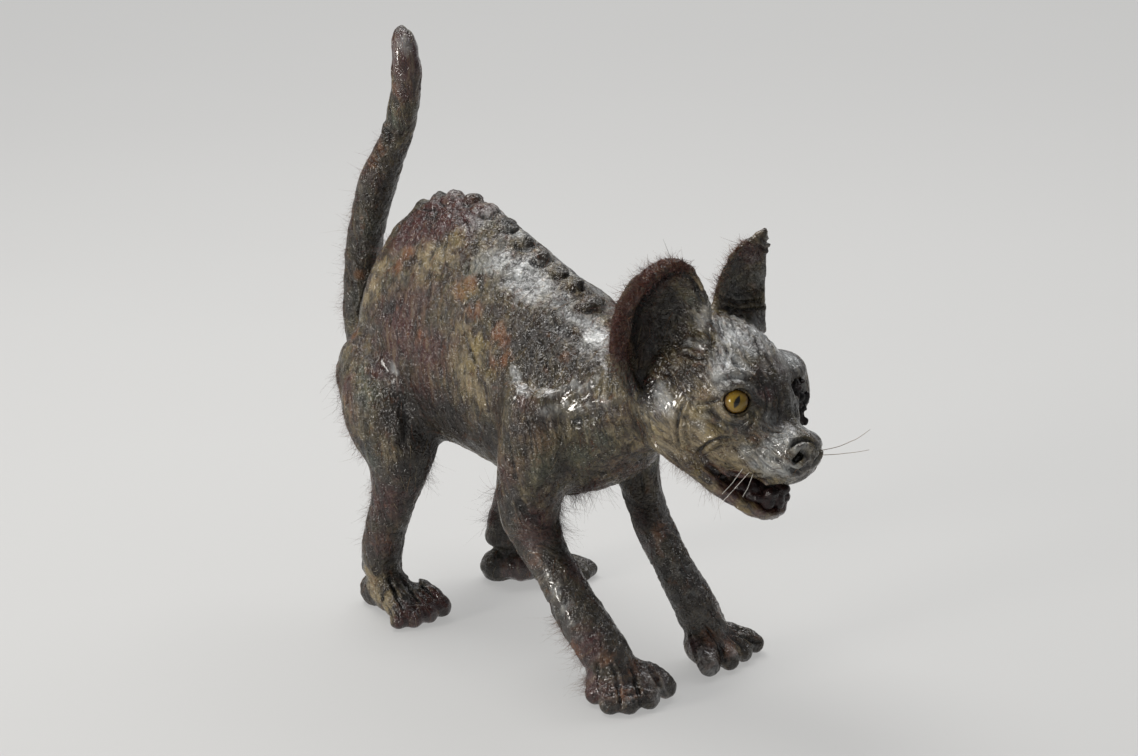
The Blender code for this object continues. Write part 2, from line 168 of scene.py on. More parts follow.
PATCHES: dict[Tint, tuple[Patch, ...]] = {
    # Charcoal patches are dark stains, except the ones from (405, 405) to (490, 470), which are painted
    # shade on the belly's underside and the far thigh's inner face.
    Tint.CHARCOAL_AND_SHADE: patches(
        (415, 405, 18), (450, 425, 16), (425, 440, 14), (405, 470, 10, 0.7), (490, 445, 14, 0.8),
        (655, 330, 12, 0.8), (648, 300, 9, 0.6), (641, 390, 8, 0.9), (640, 430, 7, 0.7),
        (550, 560, 9, 0.6), (570, 600, 8, 0.6), (400, 540, 9, 0.5), (365, 200, 8, 0.4),
        (742, 428, 6, 0.6), (765, 395, 8, 0.8), (772, 412, 7, 0.7), (764, 378, 6, 0.6),
        (690, 372, 8, 0.7), (560, 470, 7, 0.5), (600, 490, 7, 0.5), (430, 206, 13, 1.0),
        (458, 210, 11, 1.0), (408, 226, 10, 0.9), (430, 455, 16, 1.0), (440, 415, 14, 1.0),
        (410, 430, 12, 1.0), (470, 440, 12, 0.7), (384, 520, 9, 0.6), (590, 640, 7, 0.6),
        (700, 600, 7, 0.6), (565, 640, 7, 0.5), (672, 310, 9, 0.8), (675, 340, 8, 0.7),
        (752, 395, 6, 0.5), (535, 340, 24, 0.62), (575, 364, 17, 0.6), (500, 395, 16, 0.5),
        (480, 310, 12, 0.35),
    ),
    Tint.MAROON: patches(
        (440, 212, 13, 1.1), (415, 228, 11, 1.0), (470, 215, 10, 0.9), (395, 245, 7, 0.7),
        (400, 325, 20, 0.75), (430, 350, 17, 0.65), (385, 360, 13, 0.6), (425, 385, 13, 0.5),
        (640, 300, 6, 0.9), (628, 320, 7, 1.0), (622, 345, 7, 1.0), (655, 272, 7, 1.0),
        (675, 266, 6, 0.9), (346, 385, 7, 0.6), (352, 410, 6, 0.4), (384, 500, 13, 0.6),
        (380, 545, 10, 0.5), (425, 610, 9, 1.0), (410, 618, 7, 1.0), (440, 603, 6, 0.9),
        (540, 522, 10, 0.7), (528, 540, 8, 0.6), (588, 648, 9, 0.7), (605, 690, 7, 0.5),
        (620, 690, 8, 0.5), (586, 670, 6, 1.0), (592, 690, 6, 1.1), (650, 680, 9, 0.5),
        (628, 470, 12, 0.5), (640, 520, 8, 0.4), (694, 645, 5, 0.8), (705, 655, 5, 0.5),
        (403, 60, 13, 0.9), (402, 90, 8, 0.6), (376, 180, 7, 0.4), (578, 567, 8, 0.8), (760, 368, 5, 0.4),
        (768, 396, 3, 0.8, False), (525, 400, 6, 0.6), (505, 470, 10, 0.5), (711, 469, 3, 1.0),
        (718, 474, 4, 1.0), (735, 492, 8, 1.2), (750, 498, 8, 1.2), (768, 500, 8, 1.2),
        (782, 498, 5, 1.0),
    ),
    Tint.RUST: patches(
        (409, 252, 4, 0.9), (398, 268, 4, 0.7), (462, 285, 7, 0.5), (470, 282, 4, 0.8),
        (500, 334, 4, 1.0), (504, 342, 4, 0.8), (460, 293, 4, 0.6), (476, 310, 5, 0.6),
        (419, 337, 4, 0.8), (505, 360, 4, 0.7), (492, 362, 4, 0.6), (565, 357, 5, 0.4),
        (630, 669, 3.2, 1.2), (575, 650, 4, 0.8), (605, 661, 3, 0.5), (610, 655, 4, 0.4),
        (374, 160, 4, 0.6), (378, 148, 4, 0.6), (360, 275, 3, 0.6), (396, 88, 4, 0.5), (345, 400, 5, 0.4),
        (660, 530, 5, 0.5), (535, 560, 5, 0.5), (733, 648, 3.2, 0.9), (728, 653, 3, 0.6),
        (704, 395, 4, 0.3), (755, 438, 3, 0.5), (355, 335, 4, 0.6), (700, 350, 3, 0.5),
        (541, 440, 8, 0.35), (520, 460, 8, 0.3),
    ),
    Tint.TAN: patches(
        (688, 428, 14, 0.6), (672, 448, 9, 0.6), (706, 440, 10, 0.6), (383, 262, 5, 0.7),
        (372, 285, 4, 0.8), (366, 300, 4, 0.7), (425, 248, 7, 0.7), (440, 255, 7, 0.5),
        (420, 275, 8, 0.5), (398, 300, 6, 0.4), (462, 335, 6, 0.7), (458, 360, 6, 0.8),
        (470, 385, 6, 0.7), (480, 345, 5, 0.5), (370, 580, 6, 1.0), (375, 595, 6, 1.1),
        (386, 605, 6, 1.0), (392, 617, 4, 0.6), (366, 570, 4, 0.8), (667, 435, 7, 0.6),
        (690, 440, 8, 0.5), (720, 455, 7, 0.6), (735, 465, 7, 0.6), (740, 505, 6, 0.7),
        (752, 512, 6, 0.7), (722, 493, 5, 0.6), (765, 517, 5, 0.7), (716, 300, 4, 0.5),
        (700, 285, 4, 0.5), (723, 414, 4, 0.7), (716, 408, 4, 0.5), (710, 660, 4, 0.5),
        (738, 647, 3, 0.6), (640, 440, 8, 0.3), (615, 430, 9, 0.3), (560, 430, 8, 0.3),
        (480, 400, 5, 0.6), (690, 430, 17, 0.45), (660, 440, 12, 0.55), (675, 418, 9, 0.4),
        (725, 450, 12, 0.45), (705, 400, 8, 0.4), (470, 355, 12, 0.42), (430, 262, 12, 0.40),
        (720, 488, 8, 0.5), (376, 292, 10, 0.40),
    ),
    Tint.YELLOW: patches(
        (455, 238, 5, 0.5), (466, 290, 5, 0.6), (478, 345, 5, 0.7), (490, 372, 4, 0.5),
        (471, 365, 5, 0.5), (655, 430, 5, 0.5), (700, 415, 6, 0.5), (712, 430, 5, 0.5),
        (745, 509, 4, 0.7), (714, 357, 4, 0.4), (640, 395, 5, 0.3), (700, 470, 4, 0.4),
    ),
    # Silver patches: partly pale glaze, partly painted sheen along the spine and forehead and painted
    # highlights on the shoulder folds, cheek, forearm, thigh and tail tip.
    Tint.SILVER_AND_SHEEN: patches(
        (500, 262, 9, 0.8), (520, 272, 10, 0.95), (540, 288, 10, 0.8), (480, 262, 7, 0.5),
        (560, 303, 8, 0.6), (585, 322, 7, 0.8), (598, 338, 7, 0.9), (604, 350, 4, 0.5),
        (720, 325, 7, 0.9), (735, 340, 8, 1.0), (728, 360, 8, 1.0), (745, 368, 5, 0.7),
        (716, 375, 6, 0.9), (752, 350, 5, 0.7), (775, 362, 5, 0.4), (792, 358, 7, 0.9),
        (770, 425, 7, 0.6), (785, 438, 7, 0.9), (800, 445, 6, 0.7), (770, 465, 7, 0.8),
        (785, 470, 6, 0.8), (757, 325, 6, 0.7), (762, 280, 8, 0.5), (765, 240, 4, 0.5),
        (595, 285, 8, 0.5), (700, 655, 5, 0.5), (712, 668, 6, 0.6), (752, 648, 5, 0.5),
        (738, 298, 5, 0.4), (662, 398, 5, 0.5), (450, 191, 5, 0.4), (505, 215, 7, 0.6),
        (522, 232, 7, 0.6), (650, 560, 7, 0.2), (812, 462, 6, 0.5), (766, 402, 5, 0.3),
        (708, 320, 6, 0.6), (548, 575, 3.5, 0.5), (556, 590, 3.5, 0.6), (564, 606, 3.5, 0.6),
        (572, 622, 3.5, 0.5), (580, 638, 3, 0.4), (668, 545, 5, 0.3), (682, 572, 5, 0.45),
        (692, 595, 4, 0.4), (630, 700, 4, 0.5), (658, 692, 4, 0.5), (404, 45, 5, 0.6), (552, 394, 3, 0.6),
        (562, 390, 3, 0.6), (572, 385, 3, 0.6), (580, 390, 3, 0.7), (589, 385, 3, 0.7),
        (597, 379, 2.5, 0.6), (545, 410, 3, 0.6), (556, 409, 3, 0.7), (566, 404, 3, 0.6),
        (578, 408, 3, 0.6), (589, 404, 3, 0.6), (600, 400, 3, 0.5), (660, 392, 4, 0.8),
        (666, 402, 5, 0.9), (658, 410, 3, 0.6), (670, 412, 4, 0.5), (512, 370, 2.5, 1.0),
        (516, 379, 2.5, 0.9), (521, 391, 2.5, 1.0), (528, 395, 2, 0.7), (393, 368, 2.5, 0.9),
        (397, 372, 2, 0.7), (700, 344, 3.5, 0.8), (690, 341, 3, 0.7), (706, 415, 3, 0.5),
        (700, 425, 3, 0.5), (746, 451, 4, 0.7), (756, 463, 3, 0.9), (770, 446, 4, 0.8),
        (780, 440, 3.5, 0.9),
    ),
    Tint.GREEN: patches(
        (395, 270, 8, 0.5), (470, 275, 8, 0.6), (372, 372, 10, 0.7), (368, 395, 10, 0.6),
        (388, 120, 7, 0.8), (370, 230, 9, 0.7), (358, 300, 9, 0.6), (372, 460, 9, 0.6),
        (408, 590, 6, 0.8), (398, 600, 5, 0.6), (545, 470, 12, 0.5), (580, 455, 12, 0.5),
        (655, 440, 8, 0.5), (560, 545, 10, 0.5), (500, 560, 8, 0.6), (690, 300, 8, 0.5),
        (600, 440, 10, 0.5), (733, 300, 7, 0.5), (655, 465, 6, 0.5), (720, 480, 6, 0.5),
    ),
    Tint.WET: patches(
        (440, 215, 14, 0.3), (410, 235, 10, 0.3), (513, 372, 4, 1.0), (519, 390, 5, 1.0),
        (560, 395, 8, 1.0), (580, 385, 8, 1.0), (598, 376, 5, 0.9), (545, 408, 6, 1.0),
        (570, 408, 8, 0.9), (592, 400, 7, 0.9), (664, 400, 12, 1.0), (658, 385, 9, 0.8),
        (700, 345, 6, 0.6), (705, 425, 7, 0.6), (393, 368, 5, 0.8), (403, 62, 10, 0.9),
        (556, 590, 7, 0.9), (572, 615, 7, 0.9), (536, 552, 6, 0.9), (620, 688, 12, 0.7),
        (660, 680, 8, 0.8), (425, 612, 11, 0.9), (705, 620, 8, 0.6), (655, 545, 7, 0.5),
        (757, 463, 7, 0.8), (780, 450, 9, 0.7), (800, 460, 8, 0.8), (590, 335, 8, 0.6),
        (750, 496, 14, 1.0), (800, 395, 8, 1.0), (735, 365, 10, 0.5), (525, 275, 14, 0.35),
        (690, 425, 20, 0.42), (720, 340, 16, 0.45), (655, 430, 14, 0.42), (745, 400, 12, 0.4),
        (740, 450, 14, 0.42), (575, 620, 12, 0.5), (560, 585, 10, 0.5), (690, 590, 12, 0.4),
        (372, 335, 6, 0.6), (653, 356, 5, 0.5), (680, 372, 6, 0.5), (500, 385, 6, 0.4),
    ),
    # Pinned patches: where the pin holes are, each painted near black as painted shade.
    Tint.PINNED: patches(
        (540, 345, 22, 1.0), (570, 360, 14, 0.9), (515, 330, 9, 0.8), (600, 380, 10, 0.6),
        (690, 340, 9, 0.7), (460, 330, 10, 0.4), (620, 400, 10, 0.5), (500, 350, 9, 0.7),
    ),
}

FACE_FOLDS = (
    Fold(((686, 400), (680, 411), (677, 428), (679, 443), (684, 458)), 1.0, -0.55, 0.3, True),
    Fold(((692, 404), (687, 420), (687, 436), (692, 450)), 1.0, -0.35, 0.25, True),
    Fold(((670, 405), (668, 420), (671, 438), (678, 455)), 1.0, -0.3, 0.2, True),
    Fold(((648, 418), (651, 432), (657, 445), (667, 458)), 1.1, -0.5, 0.3, True),
    Fold(((697, 455), (704, 446), (712, 441), (722, 438), (733, 438)), 0.9, -0.75, 0.5, True),
    Fold(((704, 452), (713, 447), (724, 443), (734, 443)), 0.9, 0.4, 0.0, True),
    Fold(((751, 408), (754, 416), (752, 424), (745, 431)), 1.0, -0.4, 0.3),
    Fold(((708, 398), (716, 391), (726, 387), (738, 385), (749, 389), (755, 397)), 1.3, 0.8),
    Fold(((712, 386), (722, 380), (735, 378), (748, 381)), 1.1, -0.35, 0.3),
    Fold(((714, 379), (727, 372), (741, 371), (756, 378)), 1.5, 0.6),
    Fold(((725, 413), (734, 418), (745, 417), (752, 409)), 1.0, 0.6),
    Fold(((718, 416), (728, 423), (740, 425), (750, 419)), 0.9, -0.4, 0.25),
    Fold(((700, 404), (710, 402), (720, 400)), 1.0, -0.5, 0.3),
    Fold(((699, 411), (709, 412), (720, 415)), 1.0, -0.35, 0.2),
    Fold(((697, 419), (707, 421), (718, 426)), 1.0, -0.35, 0.2),
    Fold(((789, 454), (793, 445), (798, 441.5), (805, 440.6), (811, 442), (816, 446), (819, 452)),
         1.0, -1.0, 0.5),
    Fold(((819, 452), (816, 459), (811, 465)), 0.9, -0.6, 0.4),
    Fold(((787, 457), (790, 451), (796, 448), (803, 446.5), (809, 448)), 1.1, 0.9),
    Fold(((795, 461), (800, 456), (806, 452)), 1.5, -1.1, 0.2),
    Fold(((787, 468), (793, 471), (801, 470), (807, 464)), 1.2, -0.9, 0.45),
    Fold(((810, 452), (811, 457), (808, 463)), 0.8, -0.45, 0.25),
    Fold(((752, 480), (762, 481.5), (772, 481.5), (783, 480), (792, 477)), 1.8, 0.8),
    Fold(((778, 448), (784, 443), (791, 438)), 0.9, 0.6),
    Fold(((768, 456), (776, 460), (784, 461)), 1.0, -0.5, 0.35),
    Fold(((738, 452), (748, 456), (756, 463), (762, 472)), 1.0, -0.5, 0.3),
    Fold(((728, 446), (740, 449), (752, 447), (764, 441)), 1.0, -0.45, 0.3),
    Fold(((762, 448), (772, 447), (783, 441)), 0.9, 0.5),
    Fold(((757, 374), (764, 388), (767, 403), (764, 418)), 1.0, -0.4, 0.3),
    Fold(((747, 372), (757, 382), (761, 396)), 0.9, -0.35, 0.2),
    Fold(((772, 380), (776, 393), (779, 408), (778, 424)), 1.0, -0.45, 0.3),
    Fold(((781, 384), (786, 398), (788, 412)), 0.9, -0.35, 0.25),
    Fold(((763, 428), (774, 432), (786, 432)), 1.0, -0.45, 0.3),
    Fold(((768, 436), (780, 437), (790, 436)), 0.9, -0.35, 0.25),
    Fold(((664, 370), (672, 377), (676, 388)), 1.0, -0.45, 0.3),
    Fold(((690, 341), (702, 346), (716, 347)), 0.9, 0.9),
    Fold(((686, 352), (697, 358), (711, 357)), 1.1, -0.6, 0.3),
    Fold(((720, 495), (731, 502), (743, 510), (757, 515)), 1.1, 0.5),
    Fold(((708, 466), (713, 470), (720, 475), (729, 481)), 1.4, -0.8, 0.3, True),
    Fold(((722, 470), (734, 474), (748, 475), (760, 473)), 1.0, -0.35, 0.2),
)

FOREHEAD_START = ((706, 316), (712, 311), (719, 309), (727, 308), (736, 310), (746, 313), (756, 318))
FOREHEAD_END = ((716, 373), (727, 371), (739, 370), (752, 372), (764, 374), (775, 372), (784, 366))

FACE_MOUNDS = (
    ((766, 233), 2.4, 0.9), ((737, 380), 4.0, 0.5), ((700, 425), 5.0, 0.6), ((740, 462), 5.0, 0.7),
    ((765, 470), 5.0, 0.6),
)

BODY_FOLDS = (
    Fold(((385, 246), (372, 268), (362, 292), (354, 320)), 1.3, 0.6, 0.0, True),
    Fold(((397, 256), (386, 278), (378, 300)), 1.2, -0.30, 0.25, True),
    Fold(((404, 292), (398, 315), (393, 330)), 1.2, -0.25, 0.2, True),
    Fold(((423, 255), (419, 272), (421, 292)), 1.2, -0.30, 0.2, True),
    Fold(((440, 262), (436, 280), (431, 300)), 1.4, 0.3, 0.0, True),
    Fold(((446, 330), (449, 350), (455, 372)), 1.3, -0.3, 0.25, True),
    Fold(((462, 318), (466, 340), (474, 362), (486, 380)), 1.3, -0.35, 0.3, True),
    Fold(((470, 312), (485, 305), (505, 302), (530, 305), (557, 314), (582, 330), (600, 350)),
         4.0, 0.7, 0.0, True),
    Fold(((508, 352), (511, 364), (517, 376)), 1.5, 0.9, 0.0, True),
    Fold(((512, 383), (518, 391), (527, 395)), 1.4, 0.8, 0.0, True),
    Fold(((546, 396), (560, 392), (574, 384)), 1.5, 0.9, 0.0, True),
    Fold(((566, 399), (582, 390), (598, 378)), 1.4, 0.9, 0.0, True),
    Fold(((538, 409), (554, 411), (567, 403)), 1.5, 0.8, 0.0, True),
    Fold(((572, 411), (586, 405), (602, 399)), 1.4, 0.8, 0.0, True),
    Fold(((560, 420), (580, 421), (600, 413), (620, 406)), 2.0, -0.5, 0.4, True),
    Fold(((600, 442), (620, 452), (640, 446), (652, 438)), 2.0, 0.6, 0.0, True),
    Fold(((588, 470), (605, 474), (622, 466)), 1.8, -0.4, 0.3, True),
    Fold(((606, 358), (610, 378), (607, 398)), 1.8, -0.4, 0.3, True),
    Fold(((620, 352), (628, 378), (634, 405), (643, 430)), 2.0, -0.5, 0.4, True),
    Fold(((506, 430), (510, 455), (517, 480)), 2.2, -0.35, 0.3, True),
    Fold(((547, 440), (549, 462), (545, 485)), 2.0, -0.35, 0.3, True),
    Fold(((402, 400), (406, 425), (401, 450)), 2.4, -0.5, 0.4, True),
    Fold(((365, 372), (370, 400), (376, 425)), 2.0, 0.5, 0.0, True),
    Fold(((446, 396), (460, 410), (478, 428)), 2.0, 0.4, 0.0, True),
    Fold(((520, 505), (528, 515), (538, 518)), 2.0, -0.5, 0.4, True),
)

LEG_FOLDS = (
    Fold(((375, 505), (373, 525), (375, 545)), 1.8, 0.4),
    Fold(((389, 578), (395, 592), (404, 608)), 1.0, -0.9, 0.6),
    Fold(((401, 577), (410, 590), (421, 603)), 1.0, -0.9, 0.6),
    Fold(((412, 577), (425, 588), (437, 599)), 1.0, -0.9, 0.6),
    Fold(((378, 590), (385, 603), (393, 620)), 1.0, -0.6, 0.4),
    Fold(((536, 553), (548, 575), (560, 600), (572, 622), (586, 645)), 2.2, 0.7),
    Fold(((524, 572), (536, 597), (550, 622), (566, 645)), 2.0, -0.35, 0.2),
    Fold(((598, 662), (598, 678), (600, 697)), 1.0, -0.9, 0.6),
    Fold(((612, 664), (617, 680), (621, 708)), 1.0, -0.9, 0.6),
    Fold(((626, 660), (634, 676), (641, 704)), 1.0, -0.9, 0.6),
    Fold(((642, 660), (652, 674), (664, 694)), 1.0, -0.9, 0.6),
    Fold(((604, 678), (611, 681), (618, 679)), 1.4, 0.9),
    Fold(((616, 677), (623, 679), (631, 676)), 1.4, 0.9),
    Fold(((634, 677), (643, 678), (650, 676)), 1.4, 0.8),
    Fold(((652, 663), (660, 664), (667, 669)), 1.4, 0.8),
    Fold(((604, 692), (611, 695), (618, 694)), 1.1, -0.5, 0.4),
    Fold(((624, 693), (631, 695), (639, 692)), 1.1, -0.5, 0.4),
    Fold(((644, 687), (652, 688), (659, 685)), 1.1, -0.5, 0.4),
    Fold(((645, 500), (655, 525), (668, 552), (682, 580)), 2.0, 0.4),
    Fold(((707, 606), (716, 618), (729, 632), (745, 639), (762, 643)), 1.0, -1.1, 0.7),
    Fold(((703, 626), (711, 635), (719, 646), (723, 660)), 1.0, -1.0, 0.7),
    Fold(((718, 626), (729, 636), (741, 646), (744, 655)), 1.0, -1.0, 0.7),
    Fold(((690, 630), (694, 645), (699, 662)), 1.0, -0.6, 0.4),
    Fold(((700, 640), (707, 645), (714, 652)), 1.2, 0.5),
)

TAIL_FOLDS = (
    Fold(((398, 40), (397, 60), (396, 85)), 1.6, 0.4),
    Fold(((384, 130), (389, 138), (387, 148), (378, 154)), 1.5, -0.8, 0.6),
    Fold(((395, 135), (392, 142), (385, 150)), 1.6, 0.5),
    Fold(((372, 160), (380, 166), (388, 164)), 1.5, -0.4, 0.4),
    Fold(((365, 180), (361, 200), (355, 222)), 1.8, 0.4),
)

EAR_FOLDS = (
    Fold(((637, 356), (634, 331), (640, 310), (649, 294), (662, 281), (676, 273), (688, 276), (697, 290),
          (701, 308)), 1.5, -1.0, 0.0),
    Fold(((629, 352), (626, 331), (632, 306), (643, 287), (659, 272), (676, 266), (692, 270)),
         2.0, 1.3, 0.0),
    Fold(((703, 282), (707, 298), (709, 314)), 1.2, 0.7),
    Fold(((668, 300), (674, 318), (672, 338)), 1.6, 0.5),
    Fold(((686, 300), (690, 316), (689, 334)), 1.4, 0.5),
    Fold(((724, 300), (740, 303), (760, 300)), 0.9, -0.5, 0.5),
    Fold(((723, 307), (740, 310), (762, 308)), 0.9, -0.6, 0.5),
    Fold(((728, 293), (742, 295), (761, 290)), 0.8, -0.4, 0.4),
    Fold(((757, 240), (752, 262), (748, 285)), 1.4, 0.5),
    Fold(((761, 238), (766, 242), (769, 239)), 0.8, -0.5, 0.5),
    Fold(((759, 246), (764, 250), (769, 248)), 0.8, -0.4, 0.4),
)

SPINE_KNOBS = (
    (433, 201), (450, 196), (473, 197), (493, 210), (515, 224), (530, 241), (546, 257), (565, 270),
    (579, 282), (592, 303),
)

EAR_FUR = (
    Tuft(((620, 354), (621, 335), (628, 312), (640, 291), (655, 277), (672, 268)), 8.0, 1300, 3.4,
         (-0.5, -0.5, 0.3), 0.27),
    Tuft(((672, 268), (684, 267), (694, 274)), 4.0, 320, 2.2, (0.1, -0.5, 0.6), 0.30),
    Tuft(((716, 298), (723, 278), (735, 256), (745, 243)), 3.5, 420, 2.4, (-0.6, -0.3, 0.4), 0.42),
    Tuft(((640, 385), (630, 372), (622, 358)), 6.0, 300, 2.4, (-0.4, -0.5, -0.3), 0.22),
)

TUFTS = (
    Tuft(((676, 262), (655, 268), (636, 285), (625, 305), (619, 330), (620, 352)), 5.0, 900, 3.3,
         (-0.6, -0.3, 0.55), 0.40),
    Tuft(((714, 300), (722, 280), (735, 255), (750, 240)), 3.0, 260, 3.5, (-0.7, -0.1, 0.5), 0.42),
    Tuft(((358, 195), (353, 215), (348, 240), (345, 265), (344, 300), (344, 325)), 3.5, 460, 3.6,
         (-0.8, -0.2, -0.25), 0.35),
    Tuft(((383, 135), (372, 160), (362, 180)), 3.0, 200, 3.2, (-0.8, -0.2, 0.0), 0.4),
    Tuft(((338, 365), (341, 400), (350, 430), (362, 460)), 4.0, 400, 3.9, (-0.7, -0.1, -0.7), 0.3),
    Tuft(((368, 480), (369, 510), (366, 545)), 3.5, 250, 3.8, (-0.7, -0.1, -0.6), 0.35),
    Tuft(((602, 480), (585, 488), (570, 500), (562, 515)), 4.0, 460, 6.0, (0.25, 0.1, -0.9), 0.2),
    Tuft(((560, 520), (558, 535)), 3.0, 110, 6.5, (0.6, 0.3, -0.5), 0.15),
    Tuft(((498, 490), (496, 510), (492, 522)), 3.0, 230, 6.5, (-0.7, -0.2, -0.5), 0.2),
    Tuft(((548, 620), (560, 645), (575, 672), (586, 690)), 3.0, 330, 4.5, (-0.7, -0.3, -0.3), 0.5),
    Tuft(((662, 465), (675, 475), (695, 487), (715, 503)), 4.0, 260, 3.2, (-0.3, 0.0, -0.9), 0.45),
    Tuft(((393, 243), (388, 250), (382, 262)), 3.0, 130, 6.0, (-0.6, -0.2, 0.5), 0.15),
    Tuft(((432, 455), (425, 480)), 3.0, 110, 5.0, (0.4, 0.1, -0.8), 0.15),
    Tuft(((655, 300), (650, 330), (648, 360)), 6.0, 300, 4.0, (-0.2, -0.5, 0.3), 0.1),
)


def smooth_step(value: np.ndarray, low: float, high: float) -> np.ndarray:
    """Rise from 0 at low to 1 at high, with flat ends."""
    share = np.clip((value - low) / (high - low), 0.0, 1.0)
    return share * share * (3.0 - 2.0 * share)


def smooth_line(points: np.ndarray, count: int) -> np.ndarray:
    """A curve through points, as evenly numbered samples.

    Args:
        points: The points it passes through, one a row.
        count: How many samples to give.

    Returns:
        The samples, one a row.
    """
    padded = np.vstack((2 * points[0] - points[1], points, 2 * points[-1] - points[-2]))
    places = np.linspace(0, len(points) - 1.000001, count)
    start = places.astype(int)
    share = (places - start)[:, None]
    before, here, ahead, beyond = (padded[start + k] for k in range(4))
    return 0.5 * (
        2 * here
        + (ahead - before) * share
        + (2 * before - 5 * here + 4 * ahead - beyond) * share ** 2
        + (3 * here - before - 3 * ahead + beyond) * share ** 3
    )


class Figure:
    """Ties places in the figure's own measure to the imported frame, through the glass eye."""

    def __init__(self) -> None:
        """Read the eye's place and size from the frame."""
        low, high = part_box("eye_right")
        self.eye = (Vector(low) + Vector(high)) / 2
        self.eye_radius = (high[0] - low[0]) / 2

    def at(self, place: Place) -> Vector:
        """A place of the figure's own measure, in metres in the frame."""
        return self.eye + (Vector(place) - Vector(EYE_IN_FIGURE)) * MM

    def other_side(self, point: Vector) -> Vector:
        """The same place on the cat's other side."""
        middle = self.at((0, 0, 0)).y
        return Vector((point.x, 2 * middle - point.y, point.z))


@dataclass
class PhotoCamera:
    """The camera at the photograph's viewing angle."""

    figure: Figure
    from_eye: Place = (0.6929, -0.8023, 0.3547)
    azimuth: float = 45.0
    pitch: float = 18.0
    focal_pixels: float = 2411.0

    def build(self) -> None:
        """Place the camera and make it the scene's."""
        data = bpy.data.cameras.new("camera")
        data.sensor_width = SENSOR_WIDTH
        data.lens = self.focal_pixels / PHOTO_WIDTH * SENSOR_WIDTH
        data.clip_start = 0.01
        thing = bpy.data.objects.new("camera", data)
        thing.location = self.place()
        thing.rotation_euler = (math.radians(90 - self.pitch), 0, math.radians(self.azimuth))
        bpy.context.collection.objects.link(thing)
        bpy.context.scene.camera = thing

    def place(self) -> Vector:
        """Where the camera stands."""
        return self.figure.eye + Vector(self.from_eye)

    def sight(self, pixel: Pixel) -> Vector:
        """The direction in which a pixel of the photograph looks.

        Args:
            pixel: The pixel, in the photograph's frame.

        Returns:
            A unit vector away from the camera.
        """
        turn, drop = math.radians(self.azimuth), math.radians(self.pitch)
        ahead = Vector((-math.sin(turn) * math.cos(drop), math.cos(turn) * math.cos(drop), -math.sin(drop)))
        right = Vector((math.cos(turn), math.sin(turn), 0))
        up = right.cross(ahead)
        across = pixel[0] - PHOTO_WIDTH / 2
        down = pixel[1] - PHOTO_HEIGHT / 2
        return (ahead * self.focal_pixels + right * across - up * down).normalized()


class Surface:
    """A mesh's surface, asked for the places that pixels of the photograph show."""

    NEAREST = 0.9
    FARTHEST = 1.5
    TRIES = 90

    def __init__(self, mesh: bpy.types.Mesh, camera: PhotoCamera) -> None:
        """Index the mesh.

        Args:
            mesh: The mesh, in the frame.
            camera: The camera whose lines of sight are followed.
        """
        form = bmesh.new()
        form.from_mesh(mesh)
        self.tree = BVHTree.FromBMesh(form)
        form.free()
        self.camera = camera

    def seen(self, pixel: Pixel) -> Vector:
        """The place on the surface that a pixel shows, or the nearest one to its line of sight.

        Args:
            pixel: The pixel, in the photograph's frame.

        Returns:
            The place, in metres.
        """
        start = self.camera.place()
        sight = self.camera.sight(pixel)
        hit = self.tree.ray_cast(start, sight)[0]
        if hit is not None:
            return hit
        best = None
        for reach in np.linspace(self.NEAREST, self.FARTHEST, self.TRIES):
            near, _, _, gap = self.tree.find_nearest(start + sight * reach)
            if best is None or gap < best[0]:
                best = (gap, near)
        return best[1]

    def traced(self, line: tuple[Pixel, ...], count: int) -> np.ndarray:
        """A line of pixels carried onto the surface.

        Args:
            line: The pixels it passes through.
            count: How many samples to give.

        Returns:
            The samples' places, one a row.
        """
        pixels = smooth_line(np.array(line, dtype=float), count)
        return np.array([self.seen((u, v)) for u, v in pixels])


class Lattice:
    """Smooth noise read at many places at once, the same on each run."""

    SIDE = 32
    OCTAVE_SHIFT = 0.137

    def __init__(self, seed: int) -> None:
        """Fill the lattice from a seed."""
        self.table = np.random.default_rng(seed).uniform(-1.0, 1.0, (self.SIDE,) * 3)

    def read(self, places: np.ndarray, cell: float | Place) -> np.ndarray:
        """The noise at places.

        Args:
            places: The places, one a row.
            cell: The lattice's cell size in metres, or one size for each axis.

        Returns:
            A value from -1 to 1 for each place.
        """
        scaled = places / np.array(cell)
        corner = np.floor(scaled).astype(int)
        share = scaled - corner
        share = share * share * (3 - 2 * share)
        total = np.zeros(len(places))
        for step in np.ndindex(2, 2, 2):
            index = (corner + np.array(step)) % self.SIDE
            weight = np.prod(np.where(np.array(step) == 1, share, 1 - share), axis=1)
            total += weight * self.table[index[:, 0], index[:, 1], index[:, 2]]
        return total

    def fractal(self, places: np.ndarray, cell: float, octaves: int) -> np.ndarray:
        """Noise with finer noise on it, each octave half as large and half as strong.

        Args:
            places: The places, one a row.
            cell: The coarsest cell size in metres.
            octaves: How many layers.

        Returns:
            A value for each place.
        """
        total = np.zeros(len(places))
        for k in range(octaves):
            total += self.read(places + k * self.OCTAVE_SHIFT, cell / 2 ** k) / 2 ** k
        return total


